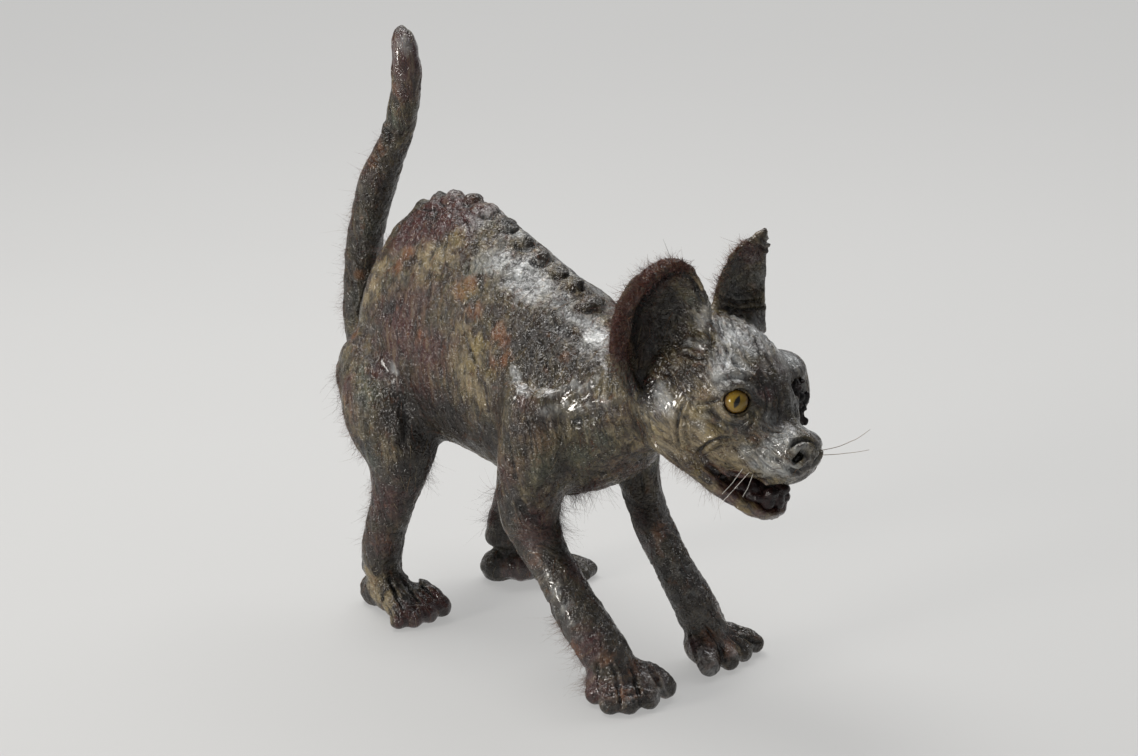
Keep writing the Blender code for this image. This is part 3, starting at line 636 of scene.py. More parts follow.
class Relief:
    """Raises and sinks a mesh's points along their normals, as a modeller's tool does."""

    STRENGTH = 1.45
    REACH = 5
    LIP_PLACE = 1.9
    WIDTH_WANDER = 0.55
    RISE_WANDER = 0.45
    WANDER_CELL = 0.0045
    END_STRENGTH = 0.35
    END_LENGTH = 0.3
    DEEPEST = 1.5
    SAMPLES_PER_PIXEL = 6

    def __init__(self, mesh: bpy.types.Mesh, surface: Surface, figure: Figure) -> None:
        """Read the mesh's points.

        Args:
            mesh: The mesh to work on.
            surface: The same surface, for carrying pixels onto it.
            figure: The figure's measure.
        """
        self.mesh = mesh
        self.surface = surface
        self.figure = figure
        self.points, self.normals = points_and_normals(mesh)
        self.lift = np.zeros(len(self.points))
        self.moved = np.zeros(len(self.points))
        self.wander = Lattice(41).fractal(self.points, self.WANDER_CELL, 2)

    def near(self, line: np.ndarray, reach: float) -> tuple[np.ndarray, np.ndarray]:
        """The points close to a line, and how far off they are.

        Args:
            line: Samples of the line, one a row.
            reach: The largest distance that counts.

        Returns:
            The points' indices and distances.
        """
        inside = np.all((self.points > line.min(0) - reach) & (self.points < line.max(0) + reach), axis=1)
        index = np.nonzero(inside)[0]
        chosen = self.points[index]
        best = np.full(len(index), np.inf)
        for start, end in zip(line, line[1:]):
            run = end - start
            share = np.clip((chosen - start) @ run / max(run @ run, 1e-12), 0, 1)
            gap = np.linalg.norm(chosen - (start + share[:, None] * run), axis=1)
            best = np.minimum(best, gap)
        keep = best < reach
        return index[keep], best[keep]

    def fold(self, line: np.ndarray, width: float, rise: float, lip: float) -> None:
        """Draw a ridge, or a groove with raised lips.

        Args:
            line: Samples of the line on the surface, one a row.
            width: The fold's half width in millimetres.
            rise: How high it stands in millimetres, below 0 for a groove.
            lip: How high its lips stand in millimetres.
        """
        index, gap = self.near(line, width * MM * self.REACH)
        wander = self.wander[index]
        share = np.abs(gap / (width * MM) + self.WIDTH_WANDER * wander)
        fade = self.end_fade(line, index) * (1 + self.RISE_WANDER * wander)
        shape = rise * np.exp(-share ** 2) + lip * np.exp(-(share - self.LIP_PLACE) ** 2)
        self.lift[index] += shape * fade * self.STRENGTH * MM

    def end_fade(self, line: np.ndarray, index: np.ndarray) -> np.ndarray:
        """How strong a fold is at points near it: full in its middle and less at its ends.

        Args:
            line: Samples of the line, one a row.
            index: The points' indices.

        Returns:
            A share for each point.
        """
        length = np.linalg.norm(line[-1] - line[0]) + 1e-9
        ends = np.minimum(
            np.linalg.norm(self.points[index] - line[0], axis=1),
            np.linalg.norm(self.points[index] - line[-1], axis=1),
        )
        full = smooth_step(ends, 0.0, length * self.END_LENGTH)
        return self.END_STRENGTH + (1 - self.END_STRENGTH) * full

    def photo_fold(self, fold: Fold, depth: float = 1.0) -> None:
        """Draw a fold read from the photograph, on one side or on both, so many times as deep.

        Args:
            fold: The fold.
            depth: How many times as deep.
        """
        line = self.surface.traced(fold.line, self.SAMPLES_PER_PIXEL * len(fold.line))
        self.fold(line, fold.width, fold.rise * depth, fold.lip * depth)
        if fold.both_sides:
            other = np.array([self.figure.other_side(Vector(point)) for point in line])
            snapped = np.array([self.surface.tree.find_nearest(Vector(point))[0] for point in other])
            self.fold(snapped, fold.width, fold.rise * depth, fold.lip * depth)

    def mound(self, centre: Vector, radius: float, rise: float) -> None:
        """Raise a round mound, or sink a pit, of a radius and rise in millimetres."""
        gap = np.linalg.norm(self.points - np.array(centre), axis=1) / (radius * MM)
        self.lift += rise * MM * np.exp(-gap ** 2)

    def clear_of(self, centre: Vector, radius: float) -> None:
        """Push points out of a ball, so that what sits in it stays clear of the skin.

        Args:
            centre: The ball's centre.
            radius: Its radius in metres.
        """
        away = self.points - np.array(centre)
        gap = np.linalg.norm(away, axis=1)
        inside = gap < radius
        self.points[inside] = np.array(centre) + away[inside] / gap[inside, None] * radius

    def settle(self) -> None:
        """Move the mesh's points by what was drawn, and start again from there."""
        self.points += self.normals * self.lift[:, None]
        self.moved += self.lift
        self.lift[:] = 0.0

    def write(self) -> None:
        """Put the points back into the mesh."""
        self.mesh.vertices.foreach_set("co", self.points.astype(np.float32).ravel())
        self.mesh.update()
        set_numbers(self.mesh, Depth.HOLLOW.value, np.clip(-self.moved / MM, 0, self.DEEPEST))
        set_numbers(self.mesh, Depth.RAISED.value, np.clip(self.moved / MM, 0, self.DEEPEST))


class Wire:
    """A shader socket. An expression on wires adds the Math nodes that it needs."""

    def __init__(self, tree: bpy.types.NodeTree, socket: bpy.types.NodeSocket) -> None:
        """Wrap a socket of a tree."""
        self.tree = tree
        self.socket = socket

    def maths(
        self, operation: str, first: "Wire | float", second: "Wire | float", clamp: bool = False,
    ) -> "Wire":
        """Add one Math node.

        Args:
            operation: The node's operation.
            first: Its first value.
            second: Its second value.
            clamp: Whether the result stays from 0 to 1.

        Returns:
            The result.
        """
        node = self.tree.nodes.new("ShaderNodeMath")
        node.operation = operation
        node.use_clamp = clamp
        for socket, value in zip(node.inputs, (first, second)):
            if isinstance(value, Wire):
                self.tree.links.new(value.socket, socket)
            else:
                socket.default_value = value
        return Wire(self.tree, node.outputs[0])

    def __add__(self, other: "Wire | float") -> "Wire":
        """The sum."""
        return self.maths("ADD", self, other)

    def __radd__(self, other: float) -> "Wire":
        """The sum, from the right."""
        return self.maths("ADD", other, self)

    def __sub__(self, other: "Wire | float") -> "Wire":
        """The difference."""
        return self.maths("SUBTRACT", self, other)

    def __rsub__(self, other: float) -> "Wire":
        """The difference, from the right."""
        return self.maths("SUBTRACT", other, self)

    def __mul__(self, other: "Wire | float") -> "Wire":
        """The product."""
        return self.maths("MULTIPLY", self, other)

    def __rmul__(self, other: float) -> "Wire":
        """The product, from the right."""
        return self.maths("MULTIPLY", other, self)

    def absolute(self) -> "Wire":
        """The value without its sign."""
        return self.maths("ABSOLUTE", self, 0.0)

    def above(self, low: float, high: float) -> "Wire":
        """Rise from 0 at low to 1 at high."""
        return self.maths("MULTIPLY", self - low, 1.0 / (high - low), clamp=True)


class Finish:
    """One material, with a Principled shader and the nodes that feed it."""

    def __init__(self, name: str) -> None:
        """Start a material.

        Args:
            name: Its name.
        """
        self.material = bpy.data.materials.new(name)
        self.material.use_nodes = True
        self.tree = self.material.node_tree
        self.shader = self.tree.nodes["Principled BSDF"]
        self.place = self.node("ShaderNodeTexCoord", output="Object")

    def node(
        self, kind: str, settings: dict | None = None, sockets: dict | None = None, output: str | int = 0,
    ) -> Wire:
        """Add any node.

        Args:
            kind: The node's type.
            settings: Its settings, set first; stops are a ramp's places and colours.
            sockets: The values or wires of its inputs, by name or number.
            output: The output to give, by name or number.

        Returns:
            The wire from that output.
        """
        node = self.tree.nodes.new(kind)
        for name, value in (settings or {}).items():
            if name == "stops":
                self.set_stops(node.color_ramp, value)
            else:
                setattr(node, name, value)
        for name, value in (sockets or {}).items():
            if isinstance(value, Wire):
                self.tree.links.new(value.socket, node.inputs[name])
            else:
                node.inputs[name].default_value = value
        return Wire(self.tree, node.outputs[output])

    @staticmethod
    def set_stops(ramp: bpy.types.ColorRamp, stops: tuple[tuple[float, Colour], ...]) -> None:
        """Give a colour ramp its stops.

        Args:
            ramp: The ramp.
            stops: Each stop's place and colour.
        """
        while len(ramp.elements) < len(stops):
            ramp.elements.new(1.0)
        for element, (place, colour) in zip(ramp.elements, stops):
            element.position = place
            element.color = (*colour, 1.0)

    def set(self, **values: float) -> None:
        """Set the shader's own numbers, which are the same all over."""
        for name, value in values.items():
            self.shader.inputs[name.replace("_", " ").title().replace("Ior", "IOR")].default_value = value

    def feed(self, name: str, wire: Wire) -> None:
        """Link a wire to one of the shader's sockets."""
        self.tree.links.new(wire.socket, self.shader.inputs[name])

    def attribute(self, name: str) -> Wire:
        """A point attribute's number."""
        return self.node("ShaderNodeAttribute", {"attribute_name": name}, output="Fac")

    def stretched(self, scale: Place, where: Wire) -> Wire:
        """Coordinates drawn out by a scale for each axis."""
        return self.node("ShaderNodeMapping", sockets={"Vector": where, "Scale": scale})

    def noise(self, scale: float, detail: float = 3.0, where: Wire | None = None, warp: float = 0.0) -> Wire:
        """Cloudy noise.

        Args:
            scale: How many cells fit in a metre.
            detail: How many finer layers it has.
            where: The coordinates, or the object's own.
            warp: How far it is drawn into swirls.

        Returns:
            The noise, about 0.5 in the middle.
        """
        sockets = {"Vector": where or self.place, "Scale": scale, "Detail": detail, "Distortion": warp}
        return self.node("ShaderNodeTexNoise", sockets=sockets, output="Fac")

    def cells(self, scale: float, feature: str, where: Wire | None = None) -> Wire:
        """The distance in a field of cells.

        Args:
            scale: How many cells fit in a metre.
            feature: Which distance is given.
            where: The coordinates, or the object's own.

        Returns:
            The distance.
        """
        sockets = {"Vector": where or self.place, "Scale": scale}
        return self.node("ShaderNodeTexVoronoi", {"feature": feature}, sockets, "Distance")

    def blend(self, share: Wire, first: Wire | Colour, second: Wire | Colour, how: str = "MIX") -> Wire:
        """Mix two colours.

        Args:
            share: How much of the second shows.
            first: The first colour.
            second: The second colour.
            how: The way they blend.

        Returns:
            The mixed colour.
        """
        first = first if isinstance(first, Wire) else (*first, 1.0)
        second = second if isinstance(second, Wire) else (*second, 1.0)
        settings = {"data_type": "RGBA", "blend_type": how}
        return self.node("ShaderNodeMix", settings, {0: share, 6: first, 7: second}, 2)

    def bump(self, height: Wire, depth: float) -> None:
        """Give the shader a bump.

        Args:
            height: The height, from 0 to 1.
            depth: What a height of 1 stands for, in millimetres.
        """
        sockets = {"Height": height, "Strength": 1.0, "Distance": depth * MM}
        self.feed("Normal", self.node("ShaderNodeBump", sockets=sockets))


@dataclass(frozen=True)
class LacqueredPaper:
    """Pasted paper and fibre, stained dark and lacquered, which is the whole skin's finish.

    The sizes of the marks are given as how many fit in a metre.
    """

    # Pitch: near black, used as painted shade in sunken folds and creases, in pin holes and in the torn
    # socket.
    pitch: Colour = (0.005, 0.0045, 0.004)
    # Charcoal: the colour of dark stains and tone, and also of the painted shade under the belly.
    charcoal_and_shade: Colour = (0.0135, 0.0105, 0.0090)
    umber: Colour = (0.041, 0.024, 0.0145)
    olive: Colour = (0.066, 0.054, 0.028)
    maroon: Colour = (0.047, 0.0115, 0.0115)
    rust: Colour = (0.165, 0.058, 0.020)
    tan: Colour = (0.270, 0.212, 0.118)
    yellow: Colour = (0.215, 0.160, 0.048)
    # Silver: the pale glaze's colour, also used for the painted sheen and highlights.
    silver_and_sheen: Colour = (0.380, 0.395, 0.395)
    green: Colour = (0.060, 0.072, 0.052)
    blotches: float = 75
    mottles: float = 210
    specks: float = 480
    streaks: Place = (320, 320, 40)
    fibres: Place = (720, 720, 80)
    strands: Place = (1600, 1600, 120)
    rust_spots: float = 150
    pin_holes: float = 330
    paint_edge: tuple[float, float] = (0.24, 0.76)
    silver_and_sheen_edge: tuple[float, float] = (0.30, 1.15)
    relief_depth: float = 1.60
    pin_patches: float = 160
    dull_patches: float = 190
    creases: float = 330
    tint_gain: float = 1.30
    tint_raggedness: float = 0.44

    def build(self) -> bpy.types.Material:
        """Make the material.

        Returns:
            The material.
        """
        finish = Finish("lacquered_papier_mache")
        grain = finish.node("ShaderNodeAttribute", {"attribute_name": Depth.GRAIN.value}, output="Vector")
        hollow = finish.attribute(Depth.HOLLOW.value)
        raised = finish.attribute(Depth.RAISED.value)
        blotch = finish.noise(self.blotches, 4, warp=0.6)
        mottle = finish.noise(self.mottles, 5, warp=0.9)
        speck = finish.noise(self.specks, 5, warp=0.4)
        streak = finish.noise(1.0, 2, finish.stretched(self.streaks, grain), 0.8)
        fibre = finish.noise(1.0, 3, finish.stretched(self.fibres, grain), 0.9)
        strand = finish.noise(1.0, 3, finish.stretched(self.strands, grain), 1.2)
        ragged = (speck - 0.5) * 0.7 + (streak - 0.5) * 1.8 + (fibre - 0.5) * 1.8 + (strand - 0.5) * 0.8
        # The charcoal attribute's share, which holds dark stains and painted shade together.
        dark_share = finish.attribute(Tint.CHARCOAL_AND_SHADE.value).above(0.2, 0.9)

        colour = finish.blend((blotch + ragged * 0.10).above(0.42, 0.58), self.umber, self.olive)
        colour = finish.blend((mottle + ragged * 0.08).above(0.49, 0.62) * 0.62, colour, self.charcoal_and_shade)
        colour = finish.blend((1.0 - mottle + ragged * 0.12).above(0.54, 0.68) * 0.36, colour, self.tan)
        for tint, paint, share in (
            (Tint.GREEN, self.green, 0.80), (Tint.CHARCOAL_AND_SHADE, self.charcoal_and_shade, 0.94), (Tint.TAN, self.tan, 0.75),
            (Tint.MAROON, self.maroon, 0.92), (Tint.YELLOW, self.yellow, 0.62), (Tint.RUST, self.rust, 0.62),
            (Tint.SILVER_AND_SHEEN, self.silver_and_sheen, 0.85),
        ):
            # The silver share is painted sheen and highlights as well as pale glaze, and has a softer edge.
            edge = self.silver_and_sheen_edge if tint is Tint.SILVER_AND_SHEEN else self.paint_edge
            stain = finish.attribute(tint.value) * self.tint_gain + ragged * self.tint_raggedness
            mask = stain.above(*edge) * share
            colour = finish.blend(mask, colour, paint)
        pale = (streak + fibre * 0.5).above(0.79, 0.93) * 0.27 + strand.above(0.56, 0.68) * 0.13
        colour = finish.blend(pale * (1.0 - dark_share * 0.75), colour, self.tan)
        colour = finish.blend(raised * speck.above(0.35, 0.6) * 0.12 * (1.0 - dark_share * 0.6), colour, self.tan)
        colour = finish.blend(fibre.above(0.54, 0.66) * 0.44, colour, self.charcoal_and_shade)
        colour = finish.blend((1.0 - streak).above(0.52, 0.66) * 0.58, colour, self.charcoal_and_shade)
        rusty = (finish.noise(self.rust_spots, 3, warp=0.5) + ragged * 0.04).above(0.62, 0.72)
        colour = finish.blend(rusty * 0.25, colour, self.rust)
        # Painted shade: the sunken folds, the creases and the torn socket are darkened towards pitch black.
        colour = finish.blend(hollow.above(0.15, 0.9) * 0.85, colour, self.pitch)

        # Painted shade: the pin holes, which are dents only in the bump, are painted near black.
        pins = 1.0 - finish.cells(self.pin_holes, "F1").above(0.16, 0.30)
        pinned = finish.noise(self.pin_patches, 1).above(0.42, 0.55)
        pins = pins * finish.attribute(Tint.PINNED.value) * pinned
        colour = finish.blend(pins * 0.95, colour, self.pitch)
        finish.feed("Base Color", colour)

        wet = (finish.attribute(Tint.WET.value) + ragged * 0.22).above(0.05, 0.75)
        dull = finish.noise(self.dull_patches, 3).above(0.42, 0.64)
        finish.feed("Roughness", 0.17 + dull * 0.22 - wet * 0.10)
        finish.feed("Coat Weight", wet * 0.70)

        creased = (finish.noise(self.creases, 2, warp=0.9) - 0.5).absolute() * -3.0
        height = creased * 0.52 + streak * 0.66 + fibre * 0.22 + strand * 0.03 + speck * 0.05 - pins * 0.5
        finish.bump(height * (1.0 - wet * 0.45), self.relief_depth)
        finish.set(ior=1.54, coat_roughness=0.10, coat_ior=1.5)
        return finish.material


@dataclass(frozen=True)
class AmberGlass:
    """The glass eye: an amber iris with a slanted slit, dark at its rim."""

    stops: tuple[tuple[float, Colour], ...] = (
        (0.0, (0.14, 0.082, 0.007)), (0.40, (0.24, 0.150, 0.014)), (0.68, (0.17, 0.098, 0.009)),
        (0.84, (0.060, 0.028, 0.005)), (0.95, (0.010, 0.007, 0.005)),
    )
    slit_black: Colour = (0.004, 0.004, 0.004)
    flecks: float = 700
    fleck_strength: float = 0.55

    def build(self) -> bpy.types.Material:
        """Make the material.

        Returns:
            The material.
        """
        finish = Finish("amber_glass_eye")
        radial = finish.attribute("iris_radius")
        slit = finish.attribute("slit")
        flecks = (finish.noise(self.flecks, 4, warp=1.2) - 0.5) * self.fleck_strength
        iris = finish.node("ShaderNodeValToRGB", {"stops": self.stops}, {"Fac": radial + flecks})
        colour = finish.blend(slit, iris, self.slit_black)
        finish.feed("Base Color", colour)
        finish.set(roughness=0.05, ior=1.5)
        return finish.material


@dataclass(frozen=True)
class WetFlesh:
    """The wet dark lining of the mouth and of the torn socket."""

    dark: Colour
    light: Colour
    name: str
    mottles: float = 260
    damp_patches: float = 300
    bumps: float = 420
    bump_depth: float = 0.8

    def build(self) -> bpy.types.Material:
        """Make the material.

        Returns:
            The material.
        """
        finish = Finish(self.name)
        mottle = finish.noise(self.mottles, 4, warp=0.7)
        finish.feed("Base Color", finish.blend(mottle.above(0.45, 0.70), self.dark, self.light))
        finish.feed("Roughness", 0.16 + finish.noise(self.damp_patches, 2).above(0.35, 0.6) * 0.38)
        finish.bump(finish.noise(self.bumps, 2, warp=0.8), self.bump_depth)
        finish.set(ior=1.40)
        return finish.material


@dataclass(frozen=True)
class HairFinish:
    """Fine hair and fibre, from near black through red-brown to straw."""

    name: str
    stops: tuple[tuple[float, Colour], ...]
    roughness: float = 0.34
    flecks: float = 700
    fleck_strength: float = 0.2

    def build(self) -> bpy.types.Material:
        """Make the material.

        Returns:
            The material.
        """
        finish = Finish(self.name)
        shade = finish.attribute("shade") + (finish.noise(self.flecks, 1) - 0.5) * self.fleck_strength
        finish.feed("Base Color", finish.node("ShaderNodeValToRGB", {"stops": self.stops}, {"Fac": shade}))
        finish.set(roughness=self.roughness)
        return finish.material


@dataclass(frozen=True)
class PaleFloor:
    """The plain pale floor, with a faint glow of its own that keeps it pale far off."""

    colour: Colour = (0.19, 0.189, 0.185)
    clouded: Colour = (0.20, 0.199, 0.195)
    glow: float = 0.36
    glow_colour: Colour = (1.0, 0.995, 0.98)

    def build(self) -> bpy.types.Material:
        """Make the material.

        Returns:
            The material.
        """
        finish = Finish("pale_floor")
        finish.feed("Base Color", finish.blend(finish.noise(3, 2), self.colour, self.clouded))
        finish.set(roughness=0.85, emission_strength=self.glow)
        finish.shader.inputs["Emission Color"].default_value = (*self.glow_colour, 1.0)
        return finish.material


def add_object(name: str, mesh: bpy.types.Mesh, material: bpy.types.Material) -> bpy.types.Object:
    """Link an object for a mesh, smooth and with its finish.

    Args:
        name: The piece's name.
        mesh: Its mesh, in the frame.
        material: Its finish.

    Returns:
        The object.
    """
    mesh.materials.clear()
    mesh.materials.append(material)
    mesh.shade_smooth()
    thing = bpy.data.objects.new(name, mesh)
    bpy.context.collection.objects.link(thing)
    return thing


def with_modifiers(thing: bpy.types.Object) -> bpy.types.Mesh:
    """The mesh that an object's modifiers give; the object itself is removed.

    Args:
        thing: The object.

    Returns:
        The finished mesh.
    """
    bpy.context.view_layer.update()
    graph = bpy.context.evaluated_depsgraph_get()
    mesh = bpy.data.meshes.new_from_object(thing.evaluated_get(graph))
    bpy.data.objects.remove(thing, do_unlink=True)
    return mesh


def points_and_normals(mesh: bpy.types.Mesh) -> tuple[np.ndarray, np.ndarray]:
    """A mesh's points and their normals, one a row.

    Args:
        mesh: The mesh.

    Returns:
        The points and the normals.
    """
    points = np.empty(len(mesh.vertices) * 3, dtype=np.float32)
    mesh.vertices.foreach_get("co", points)
    normals = np.empty(len(mesh.vertices) * 3, dtype=np.float32)
    mesh.vertex_normals.foreach_get("vector", normals)
    return points.reshape(-1, 3).astype(float), normals.reshape(-1, 3).astype(float)


def set_numbers(mesh: bpy.types.Mesh, name: str, values: np.ndarray) -> None:
    """Keep a number for each point of a mesh, as an attribute."""
    attribute = mesh.attributes.new(name, "FLOAT", "POINT")
    attribute.data.foreach_set("value", values.astype(np.float32))


@dataclass
class CatSkin:
    """The moulded skin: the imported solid's form, worked over with folds, wrinkles and tints.

    Lengths and places are in millimetres of the figure's measure. The cells of the noises, the
    hump's size and the heights above the ground are in metres.
    """

    figure: Figure
    camera: PhotoCamera
    voxel: float = 0.95
    soften_rounds: int = 9
    triangles: int = 196000
    eye_gap: float = 0.25
    socket: Place = (139, 22, 165)
    socket_radius: float = 10.0
    knob_radius: float = 3.4
    knob_rise: float = 0.9
    knob_soot: float = 0.85
    low_darkening: float = 0.50
    face_depth: float = 1.4
    forehead_fold: tuple[float, float, float] = (1.0, -0.45, 0.4)
    forehead_bend: float = 7
    lump_cell: float = 0.016
    lump_rise: float = 0.60
    crumple_cell: float = 0.0062
    crumple_rise: float = 0.22
    crumple_sharpness: float = 2.2
    drawn_cell: Place = (0.0030, 0.0030, 0.017)
    drawn_rise: float = 0.26
    crease_cell: Place = (0.0042, 0.0042, 0.014)
    crease_depth: float = 0.40
    crease_sharpness: float = 3.0
    crease_wander: float = 0.002
    foot_height: float = 0.006
    calm_head: float = 0.6
    grit_cell: float = 0.0034
    grit_rise: float = 0.75
    neck: tuple[float, float] = (74, 92)
    jaw: tuple[float, float] = (96, 112)
    leg_top: tuple[float, float] = (80, 108)
    tail_front: float = -118
    tail_bottom: float = 150
    hump: Place = (-84, 0, 226)
    hump_size: Place = (0.034, 0.030, 0.013)
    tint_cell: float = 0.007
    tint_wander: float = 0.45
    tint_falloff: float = 0.7
    tint_most: float = 1.2
    grain_tilt: float = 12
    head_tilt: float = 48
    forearm_tilt: float = 52
    forearm_reach: tuple[float, float] = (5, 25)
    forearm_height: tuple[float, float] = (0.066, 0.086)
    inward_depth: tuple[float, float] = (1.5, 4.0)
    socket_edge: tuple[float, float] = (0.75, 1.0)

    def build(self, solid: bpy.types.Object) -> bpy.types.Object:
        """Make the skin.

        Args:
            solid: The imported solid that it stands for.

        Returns:
            The finished piece.
        """
        mesh = self.dense_form(solid)
        surface = Surface(mesh, self.camera)
        relief = Relief(mesh, surface, self.figure)
        self.model_face(relief)
        self.model_body(relief)
        relief.settle()
        self.wrinkle(relief)
        relief.settle()
        relief.clear_of(self.figure.eye, self.figure.eye_radius + self.eye_gap * MM)
        relief.points[:, 2] = np.maximum(relief.points[:, 2], 0.0)
        relief.write()
        mesh = self.thinned(mesh)
        self.tint(mesh)
        # Painted shade in the torn socket.
        self.paint_socket_shade(mesh)
        skin = add_object("cat_skin", mesh, LacqueredPaper().build())
        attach(skin, BODY)
        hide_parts("cat_body")
        return skin

    def dense_form(self, solid: bpy.types.Object) -> bpy.types.Mesh:
        """The solid's form as a fine even mesh, its facets smoothed away.

        Args:
            solid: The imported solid.

        Returns:
            The mesh.
        """
        form = bmesh.new()
        form.from_mesh(solid.data)
        bmesh.ops.remove_doubles(form, verts=form.verts, dist=WELD_DISTANCE)
        mesh = bpy.data.meshes.new("dense_form")
        form.to_mesh(mesh)
        form.free()
        thing = bpy.data.objects.new("dense_form", mesh)
        bpy.context.collection.objects.link(thing)
        skin = thing.modifiers.new("skin", "REMESH")
        skin.mode = "VOXEL"
        skin.voxel_size = self.voxel * MM
        skin.adaptivity = 0.0
        soften = thing.modifiers.new("soften", "SMOOTH")
        soften.factor = 0.5
        soften.iterations = self.soften_rounds
        return with_modifiers(thing)

    def thinned(self, mesh: bpy.types.Mesh) -> bpy.types.Mesh:
        """The mesh with fewer triangles, closer together where it bends more.

        Args:
            mesh: The dense mesh.

        Returns:
            The thinned mesh.
        """
        mesh.calc_loop_triangles()
        thing = bpy.data.objects.new("worked_form", mesh)
        bpy.context.collection.objects.link(thing)
        fewer = thing.modifiers.new("fewer", "DECIMATE")
        fewer.ratio = min(1.0, self.triangles / len(mesh.loop_triangles))
        fewer.use_collapse_triangulate = True
        return with_modifiers(thing)

    def model_face(self, relief: Relief) -> None:
        """Fold the face: lids, cheeks, lips, nose and forehead.

        Args:
            relief: The skin being worked.
        """
        for fold in (*FACE_FOLDS, *EAR_FOLDS):
            relief.photo_fold(fold, self.face_depth)
        for i, (start, end) in enumerate(zip(FOREHEAD_START, FOREHEAD_END)):
            bend = self.forehead_bend * math.sin(i * 2.1)
            middle = ((start[0] + end[0]) / 2 + bend, (start[1] + end[1]) / 2 - bend / 2)
            relief.photo_fold(Fold((start, middle, end), *self.forehead_fold))
        for pixel, radius, rise in FACE_MOUNDS:
            relief.mound(relief.surface.seen(pixel), radius, rise)

    def model_body(self, relief: Relief) -> None:
        """Fold the flank, the legs and the tail, and raise the knobs of the spine.

        Args:
            relief: The skin being worked.
        """
        for fold in (*BODY_FOLDS, *LEG_FOLDS, *TAIL_FOLDS):
            relief.photo_fold(fold)
        for u, v in SPINE_KNOBS:
            seen = relief.surface.seen((u, v))
            for centre in (seen, self.figure.other_side(seen)):
                relief.mound(centre, self.knob_radius, self.knob_rise)
            below = ((u + 2, v + 7), (u - 5, v + 9), (u - 13, v + 6))
            relief.photo_fold(Fold(below, 1.3, -0.7, 0.35, True))

    def wrinkle(self, relief: Relief) -> None:
        """Roughen the whole skin: lumps of paste, crumpled paper and drawn-out fibres.

        Args:
            relief: The skin being worked.
        """
        points = relief.points
        grain = self.grain(points)
        lumps = Lattice(3).fractal(points, self.lump_cell, 2)
        crumple = 1.0 - self.crumple_sharpness * np.abs(Lattice(5).fractal(points, self.crumple_cell, 2))
        drawn = Lattice(9).read(grain, self.drawn_cell)
        wandering = grain + self.crease_wander * drawn[:, None]
        crease = 1.0 - self.crease_sharpness * np.abs(Lattice(12).read(wandering, self.crease_cell))
        calm = 1 - self.calm_head * self.head_share(points)
        grounded = smooth_step(points[:, 2], 0.0, self.foot_height)
        relief.lift += lumps * self.lump_rise * MM * calm * grounded
        relief.lift += crumple * self.crumple_rise * MM * grounded
        relief.lift += drawn * self.drawn_rise * MM * grounded
        relief.lift -= np.maximum(crease, 0) * self.crease_depth * MM * calm * grounded
        grit = Lattice(15).fractal(points, self.grit_cell, 2)
        relief.lift += self.hump_share(points) * grit * self.grit_rise * MM

    def hump_share(self, points: np.ndarray) -> np.ndarray:
        """How much of the crust on top of the hump is at each point."""
        gap = (points - np.array(self.figure.at(self.hump))) / np.array(self.hump_size)
        return np.exp(-np.sum(gap ** 2, axis=1) ** 1.5)

    def tint(self, mesh: bpy.types.Mesh) -> None:
        """Keep how much of each tint is at each point.

        Args:
            mesh: The skin's mesh.
        """
        surface = Surface(mesh, self.camera)
        points, _ = points_and_normals(mesh)
        self.lay_grain(mesh, points)
        ragged = 1.0 + self.tint_wander * Lattice(21).fractal(points, self.tint_cell, 2)
        knobs = tuple(Patch(u, v, self.knob_radius + 1.0, self.knob_soot) for u, v in SPINE_KNOBS)
        for tint, stains in PATCHES.items():
            total = np.zeros(len(points))
            if tint is Tint.CHARCOAL_AND_SHADE:
                stains = (*stains, *knobs)
            for patch in stains:
                seen = surface.seen((patch.u, patch.v))
                centres = (seen, self.figure.other_side(seen)) if patch.both_sides else (seen,)
                for centre in centres:
                    gap = np.linalg.norm(points - np.array(centre), axis=1) * ragged / (patch.radius * MM)
                    total = np.maximum(total, patch.strength * np.exp(-gap ** 2 * self.tint_falloff))
            # The legs, the belly and the tail are darkened towards charcoal.
            if tint is Tint.CHARCOAL_AND_SHADE:
                total = np.maximum(total, self.low_darkening * self.low_share(points))
            set_numbers(mesh, tint.value, np.clip(total, 0, self.tint_most))

    def low_share(self, points: np.ndarray) -> np.ndarray:
        """How much each point belongs to the legs, the belly or the tail, which are darker.

        Args:
            points: The points, one a row.

        Returns:
            A share for each point.
        """
        low, high = (self.figure.at((0, 0, z)).z for z in self.leg_top)
        legs = 1 - smooth_step(points[:, 2], low, high)
        root = self.figure.at((self.tail_front, 0, self.tail_bottom))
        tail = (points[:, 0] < root.x) & (points[:, 2] > root.z)
        return np.maximum(legs, tail * 1.0)

    def paint_socket_shade(self, mesh: bpy.types.Mesh) -> None:
        """Keep the torn socket's inside as hollow, so that it is black and wet: painted shade over its dark
        wet lining.

        Args:
            mesh: The skin's mesh.
        """
        points, normals = points_and_normals(mesh)
        centre = np.array(self.figure.at(self.socket))
        gap = np.linalg.norm(points - centre, axis=1) / (self.socket_radius * MM)
        inward = smooth_step(np.sum((centre - points) * normals, axis=1) / MM, *self.inward_depth)
        inside = (1 - smooth_step(gap, *self.socket_edge)) * inward
        for name in (Depth.HOLLOW.value, Tint.WET.value):
            kept = mesh.attributes[name]
            values = np.empty(len(points), dtype=np.float32)
            kept.data.foreach_get("value", values)
            kept.data.foreach_set("value", np.maximum(values, inside * self.tint_most).astype(np.float32))

    def lay_grain(self, mesh: bpy.types.Mesh, points: np.ndarray) -> None:
        """Keep the grain's coordinates at each point of a mesh."""
        attribute = mesh.attributes.new(Depth.GRAIN.value, "FLOAT_VECTOR", "POINT")
        attribute.data.foreach_set("vector", self.grain(points).astype(np.float32).ravel())

